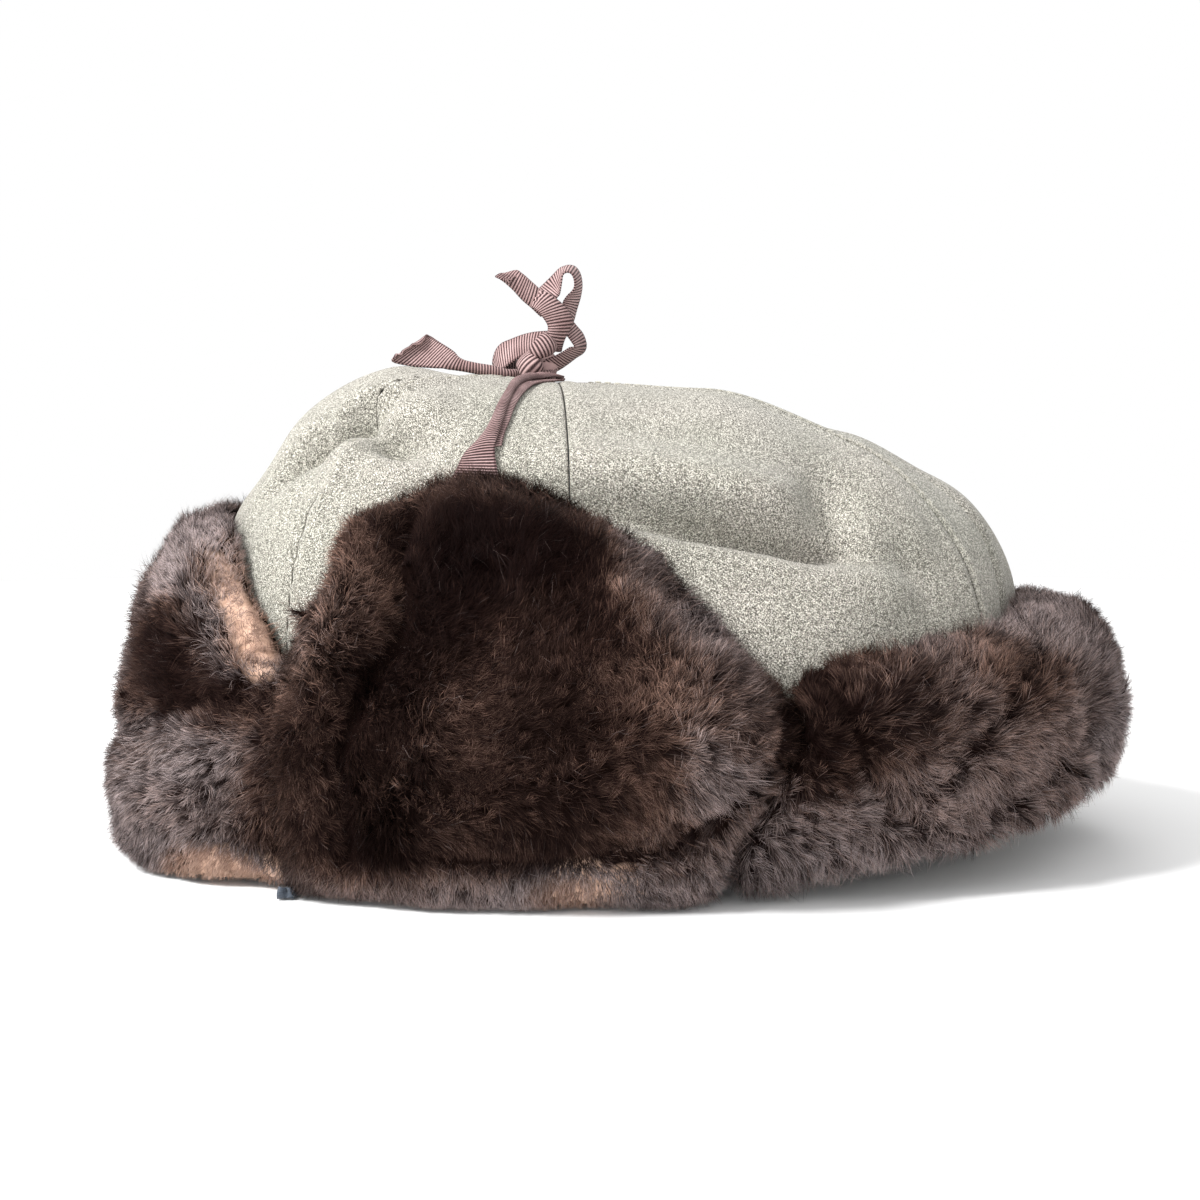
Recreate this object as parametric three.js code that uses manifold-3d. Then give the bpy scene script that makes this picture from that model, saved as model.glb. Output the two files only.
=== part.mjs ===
// A winter fur hat that stands on a table: a soft wool crown sewn from six panels over a lining,
// a fur visor, two fur ear flaps folded up and tied over the crown with a ribbon bow, and a
// folded-up fur neck flap.
// Sizes are millimetres. -X is the front, -Y the wearer's left, +Z up, and z = 0 is the table.
// A place round the hat is a turn in degrees: 0 at the front, 90 at the wearer's left, 180 behind.
import * as THREE from "three";
import { mergeVertices } from "three/addons/utils/BufferGeometryUtils.js";
import Module from "manifold-3d";

const wasm = await Module();
wasm.setup();

// Driving dimensions of the crown
const crown = {
  apexX: -17, // the seams meet a little in front of the middle
  rimZ: 4,
  rimHalfLength: 104, // with the wall and the lining this leaves a head size of 58 cm
  rimHalfWidth: 84,
  bulge: 6, // the soft wall is this much wider at half height than at the rim
  frontBulge: 5, // and this much more at the front
  planPower: 2.3, // 2 is an ellipse, more is squarer
  sidePower: 3.0,
  frontPower: 3.9,
  backPower: 5.0,
  wall: 2,
};
// Height of the crown's top line over each place along the hat
const ridgeRows = [
  { x: -112, height: 130 },
  { x: -63, height: 133.5 },
  { x: -40, height: 128.5 },
  { x: -17, height: 126.5 },
  { x: 24, height: 124 },
  { x: 64, height: 116 },
  { x: 85, height: 113 },
  { x: 112, height: 121 },
];
const seamTurns = [43, 86, 149, 211, 274, 317];
const panelNames = [
  "crown_panel_left_front",
  "crown_panel_left_back",
  "crown_panel_back",
  "crown_panel_right_back",
  "crown_panel_right_front",
  "crown_panel_front",
];
const seamGap = 0.4;
// The lining is sewn in at the rim and hangs a little looser above it.
const lining = { rimGap: 0.7, gap: 1.8, slackRise: 0.14, wall: 1, lowest: 0.001, aside: 4.5, up: 6 };

// Dents (deep above 0) and bulges (deep below 0) of the crown. Long and wide are half sizes.
const crownFolds = [
  { turn: 104, z: 87, tilt: -13, long: 36, wide: 6, deep: 6 },
  { turn: 121, z: 92, tilt: 60, long: 15, wide: 11, deep: 6 },
  { turn: 92, z: 103, tilt: -10, long: 45, wide: 9, deep: -2.5 },
  { turn: 36, z: 112, tilt: 23, long: 18, wide: 6, deep: 4.5 },
  { turn: 56, z: 110, tilt: -22, long: 16, wide: 5, deep: 3.5 },
  { turn: 167, z: 76, tilt: 84, long: 26, wide: 6, deep: 6 },
  { turn: 184, z: 66, tilt: 80, long: 26, wide: 14, deep: -7 },
  { turn: -70, z: 92, tilt: 10, long: 30, wide: 8, deep: 4 },
  { turn: -128, z: 90, tilt: -18, long: 26, wide: 8, deep: 4.5 },
  { turn: 6, z: 104, tilt: 0, long: 20, wide: 8, deep: 3 },
];

// The fur wall round the crown, the same left and right. Low is its underside, pile its depth.
const furRows = [
  { turn: 0, low: 0, pile: 43 },
  { turn: 30, low: 0, pile: 41 },
  { turn: 51, low: 0, pile: 28 },
  { turn: 72, low: 0, pile: 30 },
  { turn: 90, low: 0, pile: 25 },
  { turn: 106, low: 3, pile: 22 },
  { turn: 122, low: 8, pile: 25 },
  { turn: 148, low: 15, pile: 31 },
  { turn: 180, low: 17, pile: 37 },
];
// The top edge of each flap, as a height over the table at each turn from its own side's middle
const visorTop = [
  { turn: 0, top: 93 },
  { turn: 20, top: 92 },
  { turn: 28, top: 88 },
  { turn: 38, top: 72 },
  { turn: 46, top: 58 },
  { turn: 51.5, top: 50 },
];
const earTop = [
  { turn: 51.5, top: 52 },
  { turn: 53.5, top: 64 },
  { turn: 55.5, top: 79 },
  { turn: 58, top: 90 },
  { turn: 61, top: 97 },
  { turn: 66, top: 102 },
  { turn: 73, top: 103 },
  { turn: 80, top: 100.5 },
  { turn: 87, top: 96 },
  { turn: 93, top: 88 },
  { turn: 97, top: 78 },
  { turn: 101, top: 65 },
  { turn: 105, top: 56 },
  { turn: 109, top: 51 },
];
const neckTop = [
  { turn: 101, top: 52 },
  { turn: 112, top: 57 },
  { turn: 122, top: 61 },
  { turn: 140, top: 63 },
  { turn: 160, top: 66 },
  { turn: 180, top: 67 },
];
const flapGap = 0.9; // between a flap and the crown
const flapSeam = 0.35; // half the gap between two flaps, in degrees of turn
// A flap's section: thin at its top edge, rounded under it, and a little drawn in at the bottom
const section = { thinEdge: 3, roundPower: 6, drawnIn: 0.2, drawnShare: 0.12 };
const visorEarTurn = 51.5;
// The ear flap's back edge slants, so that its lobe lies over the start of the neck flap.
const earNeckEdge = { lowTurn: 100.5, highTurn: 108.5, lowZ: 12, highZ: 46 };
const taper = { visor: 0.66, ear: 0.14, neck: 0.3 };

// Creases (deep above 0) and lobes (deep below 0) of the fur's outer face
const furFolds = [
  { turn: 72.5, z: 82, tilt: 80, long: 17, wide: 4, deep: 8 },
  { turn: 69, z: 56, tilt: 42, long: 16, wide: 4.5, deep: 7 },
  { turn: 66, z: 28, tilt: 82, long: 20, wide: 4, deep: 5 },
  { turn: 67, z: 72, tilt: 80, long: 18, wide: 6, deep: -3 },
  { turn: 84, z: 55, tilt: 0, long: 20, wide: 22, deep: -3 },
  { turn: 104, z: 40, tilt: 50, long: 12, wide: 10, deep: -7 },
  { turn: 113, z: 20, tilt: 40, long: 16, wide: 5, deep: 5 },
  { turn: 128, z: 34, tilt: 35, long: 22, wide: 5, deep: 5 },
  { turn: 140, z: 52, tilt: 20, long: 20, wide: 7, deep: -3 },
  { turn: 163, z: 30, tilt: 60, long: 20, wide: 6, deep: 4 },
  { turn: 90, z: 17, tilt: 0, long: 40, wide: 4, deep: 4 },
  { turn: 30, z: 52, tilt: 10, long: 22, wide: 7, deep: 4 },
  { turn: 24, z: 26, tilt: 5, long: 26, wide: 9, deep: -2 },
  { turn: -68, z: 60, tilt: 75, long: 26, wide: 5, deep: 5 },
  { turn: -82, z: 55, tilt: 0, long: 20, wide: 22, deep: -5 },
  { turn: -96, z: 40, tilt: -30, long: 22, wide: 6, deep: 4 },
  { turn: -104, z: 40, tilt: 50, long: 12, wide: 10, deep: -5 },
  { turn: -118, z: 34, tilt: 60, long: 18, wide: 5, deep: 4 },
  { turn: -145, z: 40, tilt: 30, long: 22, wide: 6, deep: 4 },
  { turn: -22, z: 44, tilt: -15, long: 24, wide: 7, deep: 4 },
];
// One lock of fur is a flattened cone. Rows of them stand on the face and along the top edge.
const lock = { radius: 8.5, flat: 0.45, length: 20, sunk: 7, inset: 0.5, sides: 3, stray: 0.9 };

// The ribbons
const ribbon = { width: 10, thick: 1 };
const tieTurn = { low: 71, high: 76 };
const tieLowZ = 104.5;
const tieHighRise = 0.94;
const tieLift = 1.3; // of the ribbon's middle over the crown
const knot = { x: -19, y: -2, z: 134.2, radius: 5.4, wrapRadius: 5.8, wrapWidth: 7 };
const bowStrips = [
  {
    // the short end that lies along the crown towards the front
    steps: 9,
    rows: [
      { x: -20, y: -5, z: 132, nx: 0, ny: -0.4, nz: 1, width: 5 },
      { x: -30, y: -8, z: 131.4, nx: 0, ny: -0.5, nz: 1, width: 5 },
      { x: -42, y: -8, z: 132.3, nx: 0, ny: -0.9, nz: 0.6, width: 7 },
      { x: -52, y: -7, z: 135.0, nx: 0, ny: -1, nz: 0.2, width: 9 },
      { x: -61, y: -6, z: 137.2, nx: 0.1, ny: -1, nz: 0.1, width: 10 },
    ],
  },
  {
    // the tall loop, folded over at its top
    steps: 18,
    rows: [
      { x: -19, y: -5, z: 134, nx: -0.2, ny: -1, nz: -0.2, width: 7 },
      { x: -14.5, y: -6.5, z: 142, nx: 0.2, ny: -1, nz: 0, width: 9 },
      { x: -17, y: -6, z: 149, nx: -0.3, ny: -1, nz: 0.1, width: 9 },
      { x: -20.5, y: -3.5, z: 153, nx: -1, ny: -0.3, nz: 0.1, width: 8.5 },
      { x: -17, y: -1, z: 157, nx: -0.5, ny: 0.8, nz: 0.6, width: 8 },
      { x: -13.5, y: 0.5, z: 160, nx: 0, ny: 0.7, nz: 1, width: 6.5 },
      { x: -11, y: 1, z: 155, nx: 1, ny: 0.5, nz: 0.2, width: 6 },
      { x: -12, y: 1.5, z: 146, nx: 0.8, ny: 0.9, nz: 0, width: 8 },
      { x: -16, y: 1, z: 137, nx: 0.5, ny: 1, nz: 0, width: 7 },
    ],
  },
  {
    // the end that stands up and leans forward
    steps: 8,
    rows: [
      { x: -17.5, y: -5.4, z: 147, nx: -0.2, ny: -1, nz: 0, width: 8 },
      { x: -23, y: -4.5, z: 152.3, nx: -0.2, ny: -1, nz: 0, width: 8 },
      { x: -29, y: -3.5, z: 156, nx: 0, ny: -1, nz: 0.2, width: 7.5 },
      { x: -34.5, y: -3.5, z: 158.6, nx: 0.2, ny: -1, nz: 0.4, width: 4.5 },
    ],
  },
  {
    // the low loop towards the front
    steps: 13,
    rows: [
      { x: -18, y: 0, z: 137, nx: 0, ny: 0.2, nz: 1, width: 7 },
      { x: -25, y: 1.5, z: 140.5, nx: -0.2, ny: -0.6, nz: 1, width: 8 },
      { x: -31.5, y: 2.5, z: 138, nx: -0.9, ny: -0.5, nz: 0.6, width: 8 },
      { x: -33.5, y: 2.5, z: 134, nx: -1, ny: -0.3, nz: -0.1, width: 7 },
      { x: -29, y: 0.5, z: 132.6, nx: 0.1, ny: 0.3, nz: -1, width: 6 },
      { x: -21, y: -1, z: 133.5, nx: 0.1, ny: 0, nz: -1, width: 6 },
    ],
  },
  {
    // the small loop towards the back
    steps: 12,
    rows: [
      { x: -18, y: -2, z: 132.5, nx: 0, ny: -0.7, nz: -1, width: 6 },
      { x: -13, y: -1.5, z: 132.8, nx: 0.4, ny: -0.8, nz: -0.6, width: 6.5 },
      { x: -10.5, y: 0, z: 137, nx: 1, ny: -0.5, nz: 0, width: 7 },
      { x: -11.5, y: 2, z: 141, nx: 0.8, ny: 0.1, nz: 0.8, width: 7 },
      { x: -16, y: 1.5, z: 139, nx: -0.3, ny: 0.2, nz: 1, width: 6 },
    ],
  },
];

const radians = (degrees) => (degrees * Math.PI) / 180;
const clamp01 = (t) => Math.min(1, Math.max(0, t));
const ease = (t) => t * t * (3 - 2 * t);

// A smooth reading between the rows of a table, level at every row
function readTable(rows, at, column, value) {
  if (value <= rows[0][at]) return rows[0][column];
  for (let i = 1; i < rows.length; i++) {
    const [from, to] = [rows[i - 1], rows[i]];
    if (value <= to[at]) {
      const t = ease((value - from[at]) / (to[at] - from[at]));
      return from[column] + (to[column] - from[column]) * t;
    }
  }
  return rows[rows.length - 1][column];
}

// A turn brought into -180 to 180
const wrapTurn = (turn) => turn - 360 * Math.round(turn / 360);
const arcRadius = 105; // turns a difference in turn into a length along the wall

// The sum of the dents and bulges of a table at a place on the wall
function relief(rows, turn, z) {
  let sum = 0;
  for (const row of rows) {
    const along = radians(wrapTurn(turn - row.turn)) * arcRadius;
    const up = z - row.z;
    const [c, s] = [Math.cos(radians(row.tilt)), Math.sin(radians(row.tilt))];
    const u = (along * c + up * s) / row.long;
    const v = (up * c - along * s) / row.wide;
    sum += row.deep * Math.exp(-u * u - v * v);
  }
  return sum;
}

// The crown without folds. Rise is 0 at the rim and 1 where the seams meet.
function crownBase(turn, rise) {
  const [c, s] = [Math.cos(radians(turn)), Math.sin(radians(turn))];
  const power =
    crown.sidePower +
    (crown.frontPower - crown.sidePower) * Math.max(0, c) ** 2 +
    (crown.backPower - crown.sidePower) * Math.max(0, -c) ** 2;
  const angle = (clamp01(rise) * Math.PI) / 2;
  const spread = Math.cos(angle) ** (2 / power);
  const lift = Math.sin(angle) ** (2 / power);
  const frontShare = Math.max(0, c) ** 2;
  const swell = (crown.bulge + crown.frontBulge * frontShare * lift) * Math.sin(Math.PI * lift);
  const planX = -Math.sign(c) * Math.abs(c) ** (2 / crown.planPower) * (crown.rimHalfLength + swell);
  const planY = -Math.sign(s) * Math.abs(s) ** (2 / crown.planPower) * (crown.rimHalfWidth + swell);
  const x = crown.apexX + (planX - crown.apexX) * spread;
  const height = readTable(ridgeRows, "x", "height", x);
  return new THREE.Vector3(x, planY * spread, crown.rimZ + (height - crown.rimZ) * lift);
}

function crownNormal(turn, rise) {
  const step = 0.004;
  const r = Math.min(rise, 1 - 3 * step);
  const around = crownBase(turn + 0.5, r).sub(crownBase(turn - 0.5, r));
  const up = crownBase(turn, r + step).sub(crownBase(turn, Math.max(0, r - step)));
  const normal = around.cross(up).normalize();
  const blend = ease(clamp01((rise - 0.9) / 0.1)); // straight up where the seams meet
  return normal.lerp(new THREE.Vector3(0, 0, 1), blend).normalize();
}

// The depth of the crown's folds, which end where the seams meet
function foldDepth(turn, rise, z) {
  return relief(crownFolds, turn, z) * (1 - ease(clamp01((rise - 0.75) / 0.25)));
}

// The crown with its folds, moved outwards by out
function crownPoint(turn, rise, out) {
  const point = crownBase(turn, rise);
  const folds = foldDepth(turn, rise, point.z);
  return point.addScaledVector(crownNormal(turn, rise), out - folds);
}

// The rise at which the crown's base reaches a height
function riseAt(turn, z) {
  let [low, high] = [0, 1];
  for (let i = 0; i < 24; i++) {
    const middle = (low + high) / 2;
    if (crownBase(turn, middle).z < z) low = middle;
    else high = middle;
  }
  return (low + high) / 2;
}

const toVector = (v) => new THREE.Vector3(v.x, v.y, v.z);
const between = (from, to, t) => from + (to - from) * t;

// A closed wall between two grids of points, face[column][row], both seen from outside
function wallGeometry(outer, inner, wraps) {
  const columns = outer.length;
  const rows = outer[0].length;
  const positions = [];
  for (const grid of [outer, inner])
    for (const column of grid) for (const p of column) positions.push(p.x, p.y, p.z);
  const index = [];
  const out = (c, r) => (c % columns) * rows + r;
  const back = (c, r) => columns * rows + out(c, r);
  const quad = (a, b, c, d) => index.push(a, b, c, a, c, d);
  const last = wraps ? columns : columns - 1;
  for (let c = 0; c < last; c++) {
    for (let r = 0; r < rows - 1; r++) {
      quad(out(c, r), out(c + 1, r), out(c + 1, r + 1), out(c, r + 1));
      quad(back(c, r), back(c, r + 1), back(c + 1, r + 1), back(c + 1, r));
    }
    quad(back(c, 0), back(c + 1, 0), out(c + 1, 0), out(c, 0));
    quad(out(c, rows - 1), out(c + 1, rows - 1), back(c + 1, rows - 1), back(c, rows - 1));
  }
  if (!wraps) {
    for (let r = 0; r < rows - 1; r++) {
      quad(out(0, r), out(0, r + 1), back(0, r + 1), back(0, r));
      quad(out(last, r), back(last, r), back(last, r + 1), out(last, r + 1));
    }
  }
  const geometry = new THREE.BufferGeometry();
  geometry.setAttribute("position", new THREE.Float32BufferAttribute(positions, 3));
  geometry.setIndex(index);
  return geometry;
}

// A geometry as a solid that can be joined and cut
function toSolid(geometry) {
  const bare = geometry.clone();
  bare.deleteAttribute("normal");
  bare.deleteAttribute("uv");
  const merged = mergeVertices(bare, 1e-4);
  const triangles = [];
  const index = merged.index.array;
  for (let i = 0; i < index.length; i += 3) {
    const [a, b, c] = [index[i], index[i + 1], index[i + 2]];
    if (a !== b && b !== c && c !== a) triangles.push(a, b, c);
  }
  return new wasm.Manifold(
    new wasm.Mesh({
      numProp: 3,
      vertProperties: new Float32Array(merged.attributes.position.array),
      triVerts: new Uint32Array(triangles),
    }),
  );
}

function toGeometry(solid) {
  const mesh = solid.getMesh();
  const geometry = new THREE.BufferGeometry();
  geometry.setAttribute("position", new THREE.BufferAttribute(mesh.vertProperties, 3));
  geometry.setIndex(new THREE.BufferAttribute(mesh.triVerts, 1));
  geometry.computeVertexNormals();
  return geometry;
}

const materials = {
  wool: { color: 0x8f8d78, roughness: 0.95, metalness: 0 },
  lining: { color: 0x4a5562, roughness: 0.8, metalness: 0 },
  fur: { color: 0x33231c, roughness: 0.85, metalness: 0 },
  ribbon: { color: 0x6b4a49, roughness: 0.6, metalness: 0 },
};

const hat = new THREE.Group();

function addNode(name, geometry, look) {
  const mesh = new THREE.Mesh(geometry, new THREE.MeshStandardMaterial(materials[look]));
  mesh.name = name;
  hat.add(mesh);
}

// A shell over the head between two faces, each a function of the turn and the rise
function headShell(columns, rows, lowest, outside, inside) {
  const grid = (face) =>
    Array.from({ length: columns }, (_, c) =>
      Array.from({ length: rows + 1 }, (_, r) =>
        face((360 * c) / columns, between(lowest, 1, r / rows)),
      ),
    );
  return toSolid(wallGeometry(grid(outside), grid(inside), true));
}

// The crown, cut along its seams into panels
function makeCrown() {
  const face = (out) => (turn, rise) => crownPoint(turn, rise, out);
  let shell = headShell(54, 12, 0, face(0), face(-crown.wall));
  const reach = 160;
  for (const turn of seamTurns) {
    const rim = crownBase(turn, 0);
    const heading = Math.atan2(rim.y, rim.x - crown.apexX);
    const blade = new THREE.BoxGeometry(reach, seamGap, 2 * reach);
    blade.translate(reach / 2, 0, 0);
    blade.rotateZ(heading);
    blade.translate(crown.apexX, 0, 0);
    shell = shell.subtract(toSolid(blade));
  }
  for (const panel of shell.decompose()) {
    const { min, max } = panel.boundingBox();
    const middle = new THREE.Vector2((min[0] + max[0]) / 2 - crown.apexX, (min[1] + max[1]) / 2);
    const turn = (Math.atan2(-middle.y, -middle.x) * 180) / Math.PI;
    const past = seamTurns.filter((seam) => seam <= (turn + 360) % 360).length;
    addNode(panelNames[(past + 5) % 6], toGeometry(panel), "wool");
  }
}

// The lining keeps clear of the deepest fold near each of its points.
function liningPoint(turn, rise, out) {
  const point = crownBase(turn, rise);
  let deepest = 0;
  for (const i of [-2, -1, 0, 1, 2])
    for (const k of [-2, -1, 0, 1, 2]) {
      const near = foldDepth(turn + i * lining.aside, rise, point.z + k * lining.up);
      deepest = Math.max(deepest, near);
    }
  const slack = clamp01(rise / lining.slackRise);
  const gap = between(lining.rimGap, lining.gap + deepest, slack);
  return point.addScaledVector(crownNormal(turn, rise), out - gap);
}

function makeLining() {
  const face = (out) => (turn, rise) => liningPoint(turn, rise, out);
  const faces = [face(-crown.wall), face(-crown.wall - lining.wall)];
  const shell = headShell(30, 7, lining.lowest, ...faces);
  addNode("lining", toGeometry(shell), "lining");
}

// How deep the fur is at a share of the flap's height
function furDepth(pile, taperShare, share) {
  const top = Math.sqrt(Math.max(0, 1 - share ** section.roundPower));
  const bottom = 1 - section.drawnIn * clamp01(1 - share / section.drawnShare) ** 2;
  const tapered = 1 - taperShare * share ** 0.6;
  return section.thinEdge + (pile - section.thinEdge) * tapered * top * bottom;
}

// Low broad waves, so that the fur's face isn't even
const furWaves = (turn, z) =>
  1.3 * Math.sin(0.21 * turn + 0.11 * z) + 1.0 * Math.sin(0.34 * turn - 0.17 * z + 1.3);

// A point of a flap: face 0 lies along the crown and face 1 is the fur's outer face.
function flapPoint(flap, across, share, face) {
  const bottom = readTable(furRows, "turn", "low", Math.abs(wrapTurn(flap.turnAt(across, 0))));
  const roughZ = bottom + (60 - bottom) * share;
  const turn = flap.turnAt(across, roughZ);
  const side = Math.abs(wrapTurn(turn));
  const low = readTable(furRows, "turn", "low", side);
  const top = readTable(flap.top, "turn", "top", side);
  const z = low + (top - low) * share;
  const rise = riseAt(turn, z);
  const base = crownBase(turn, rise);
  const normal = crownNormal(turn, rise);
  const plan = new THREE.Vector3(normal.x, normal.y, 0).normalize();
  const bulge = Math.max(0, -relief(crownFolds, turn, base.z));
  const point = base.addScaledVector(plan, (flapGap + bulge) / Math.max(0.5, normal.dot(plan)));
  point.z = z;
  if (face > 0) {
    const pile = readTable(furRows, "turn", "pile", side);
    const lumps = furWaves(turn, z) - relief(furFolds, turn, z);
    const depth = furDepth(pile, flap.taper, share) + lumps * Math.sin(Math.PI * share) ** 0.4;
    point.addScaledVector(plan, Math.max(section.thinEdge, depth) * face);
  }
  return point;
}

// One lock, with its tip pointing along a heading
function lockGeometry(root, heading, facing, size) {
  const cone = new THREE.ConeGeometry(lock.radius * size, lock.length * size, lock.sides);
  cone.translate(0, (lock.length / 2 - lock.sunk) * size, 0);
  cone.scale(1, 1, lock.flat);
  const y = heading.clone().normalize();
  const x = y.clone().cross(facing).normalize();
  const z = x.clone().cross(y);
  const place = root.clone().addScaledVector(facing, -lock.inset);
  cone.applyMatrix4(new THREE.Matrix4().makeBasis(x, y, z).setPosition(place));
  return cone;
}

// A fixed uneven number from 0 to 1 for each pair of whole numbers
function uneven(i, k) {
  const v = Math.sin(12.99 * i + 78.23 * k + 3) * 437.58;
  return v - Math.floor(v);
}

// The locks of a flap: the hair parts from the flap's middle towards its edges
function flapLocks(flap) {
  const locks = [];
  for (const [k, row] of flap.lockRows.entries()) {
    for (let i = 0; i < row.count; i++) {
      const across = (i + 0.35 + 0.3 * uneven(i, k) + (row.shift || 0)) / row.count;
      if (across > flap.lastLock || across < 1 - flap.lastLock) continue;
      const root = flapPoint(flap, across, row.share, 1);
      const side = flapPoint(flap, across + 0.01, row.share, 1).sub(root).normalize();
      const up = flapPoint(flap, across, row.share + 0.01, 1).sub(root).normalize();
      const outward = side.clone().cross(up).normalize();
      if (row.share > 0.9 && Math.abs(flap.tieAcross - across) < 0.09) continue;
      const heading = outward
        .clone()
        .multiplyScalar(row.lean)
        .addScaledVector(side, (across - 0.5) * flap.part + lock.stray * (uneven(k, i) - 0.5))
        .addScaledVector(new THREE.Vector3(0, 0, 1), row.rise);
      const size = row.size * (0.85 + 0.3 * uneven(i, k + 7));
      locks.push(toSolid(lockGeometry(root, heading, outward, size)));
    }
  }
  return locks;
}

function makeFlap(flap) {
  const grid = (face) =>
    Array.from({ length: flap.columns + 1 }, (_, c) =>
      Array.from({ length: flap.rows + 1 }, (_, r) =>
        flapPoint(flap, c / flap.columns, 1 - (1 - r / flap.rows) ** 1.25, face),
      ),
    );
  const backing = toSolid(wallGeometry(grid(1), grid(0), false));
  const fur = wasm.Manifold.union([backing, ...flapLocks(flap)]);
  addNode(flap.name, toGeometry(fur), "fur");
}

// The turn of the slanting edge between an ear flap and the neck flap
function earEdge(z) {
  const t = clamp01((z - earNeckEdge.lowZ) / (earNeckEdge.highZ - earNeckEdge.lowZ));
  return earNeckEdge.lowTurn + (earNeckEdge.highTurn - earNeckEdge.lowTurn) * t;
}

const earLocks = [
  { share: 0.95, count: 10, lean: 0.3, rise: 1, size: 0.7 },
  { share: 0.78, count: 7, lean: 0.32, rise: 0.9, size: 1, shift: 0.3 },
  { share: 0.58, count: 7, lean: 0.35, rise: 0.7, size: 1.05 },
  { share: 0.4, count: 7, lean: 0.4, rise: -0.5, size: 1.05, shift: 0.3 },
  { share: 0.2, count: 8, lean: 0.35, rise: -0.4, size: 0.9 },
];
const bandLocks = (count) => [
  { share: 0.93, count, lean: 0.3, rise: 1, size: 0.7 },
  { share: 0.7, count, lean: 0.35, rise: 0.9, size: 1, shift: 0.3 },
  { share: 0.44, count, lean: 0.4, rise: 0.6, size: 1.05 },
  { share: 0.2, count, lean: 0.4, rise: -0.15, size: 0.95, shift: 0.3 },
];

const flaps = [
  {
    name: "front_flap",
    top: visorTop,
    taper: taper.visor,
    columns: 20,
    rows: 7,
    turnAt: (t) => between(-visorEarTurn + flapSeam, visorEarTurn - flapSeam, t),
    lockRows: bandLocks(11),
    part: 0.8,
    lastLock: 0.96,
    tieAcross: -1,
  },
  {
    name: "left_ear_flap",
    top: earTop,
    taper: taper.ear,
    columns: 18,
    rows: 8,
    turnAt: (t, z) => between(visorEarTurn + flapSeam, earEdge(z) - flapSeam, t),
    lockRows: earLocks,
    part: 1.2,
    lastLock: 0.91,
    tieAcross: (tieTurn.low - visorEarTurn) / (earNeckEdge.highTurn - visorEarTurn),
  },
  {
    name: "neck_flap",
    top: neckTop,
    taper: taper.neck,
    columns: 24,
    rows: 6,
    turnAt: (t, z) => between(earEdge(z) + flapSeam, 360 - earEdge(z) - flapSeam, t),
    lockRows: bandLocks(13),
    part: 0.5,
    lastLock: 0.96,
    tieAcross: -1,
  },
  {
    name: "right_ear_flap",
    top: earTop,
    taper: taper.ear,
    columns: 18,
    rows: 8,
    turnAt: (t, z) => between(-earEdge(z) + flapSeam, -visorEarTurn - flapSeam, t),
    lockRows: earLocks,
    part: 1.2,
    lastLock: 0.91,
    tieAcross: 1 - (tieTurn.low - visorEarTurn) / (earNeckEdge.highTurn - visorEarTurn),
  },
];

// A strip of ribbon as a closed solid. Each row gives a point, the way the face looks and a width.
function stripGeometry(rows, steps) {
  const path = new THREE.CatmullRomCurve3(rows.map(toVector));
  const facings = new THREE.CatmullRomCurve3(rows.map((r) => new THREE.Vector3(r.nx, r.ny, r.nz)));
  const widths = rows.map((r, i) => ({ at: i / (rows.length - 1), width: r.width }));
  const [front, back] = [[], []];
  for (let i = 0; i <= steps; i++) {
    const t = i / steps;
    const point = path.getPoint(t);
    const along = path.getTangent(t);
    const facing = facings.getPoint(t);
    const across = facing.clone().cross(along).normalize();
    const face = along.clone().cross(across).normalize();
    const half = readTable(widths, "at", "width", t) / 2;
    const corner = (sideways, outwards) =>
      point.clone().addScaledVector(across, sideways).addScaledVector(face, outwards);
    front.push([corner(-half, ribbon.thick / 2), corner(half, ribbon.thick / 2)]);
    back.push([corner(-half, -ribbon.thick / 2), corner(half, -ribbon.thick / 2)]);
  }
  return wallGeometry(front, back, false);
}

// The ribbon from an ear flap's tip up the crown to just under the knot
function makeTie(name, sign) {
  const steps = 12;
  const start = riseAt(sign * tieTurn.low, tieLowZ);
  const rows = Array.from({ length: steps + 1 }, (_, i) => {
    const t = i / steps;
    const rise = start + (tieHighRise - start) * t;
    const turn = sign * between(tieTurn.low, tieTurn.high, t);
    const point = crownPoint(turn, rise, tieLift);
    const normal = crownNormal(turn, rise);
    return {
      x: point.x,
      y: point.y,
      z: point.z,
      nx: normal.x,
      ny: normal.y,
      nz: normal.z,
      width: ribbon.width * (1 - 0.55 * Math.sin(Math.PI * Math.min(1, t * 1.2)) ** 1.5),
    };
  });
  addNode(name, stripGeometry(rows, steps), "ribbon");
}

// The knot, its loops and its loose ends, as one piece
function makeBow() {
  const core = new THREE.SphereGeometry(knot.radius, 7, 5);
  core.translate(knot.x, knot.y, knot.z);
  const wrap = [];
  for (let i = 0; i <= 8; i++) {
    const a = radians(-200 + 35 * i);
    wrap.push({
      x: knot.x - 1.5 * Math.cos(a),
      y: knot.y + knot.wrapRadius * Math.cos(a),
      z: knot.z + knot.wrapRadius * Math.sin(a),
      nx: 0,
      ny: Math.cos(a),
      nz: Math.sin(a),
      width: knot.wrapWidth,
    });
  }
  const solids = [toSolid(core), toSolid(stripGeometry(wrap, 8))];
  for (const strip of bowStrips) solids.push(toSolid(stripGeometry(strip.rows, strip.steps)));
  addNode("ribbon_bow", toGeometry(wasm.Manifold.union(solids)), "ribbon");
}

makeCrown();
makeLining();
for (const flap of flaps) makeFlap(flap);
makeTie("left_tie", 1);
makeTie("right_tie", -1);
makeBow();

export default hat;
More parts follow.
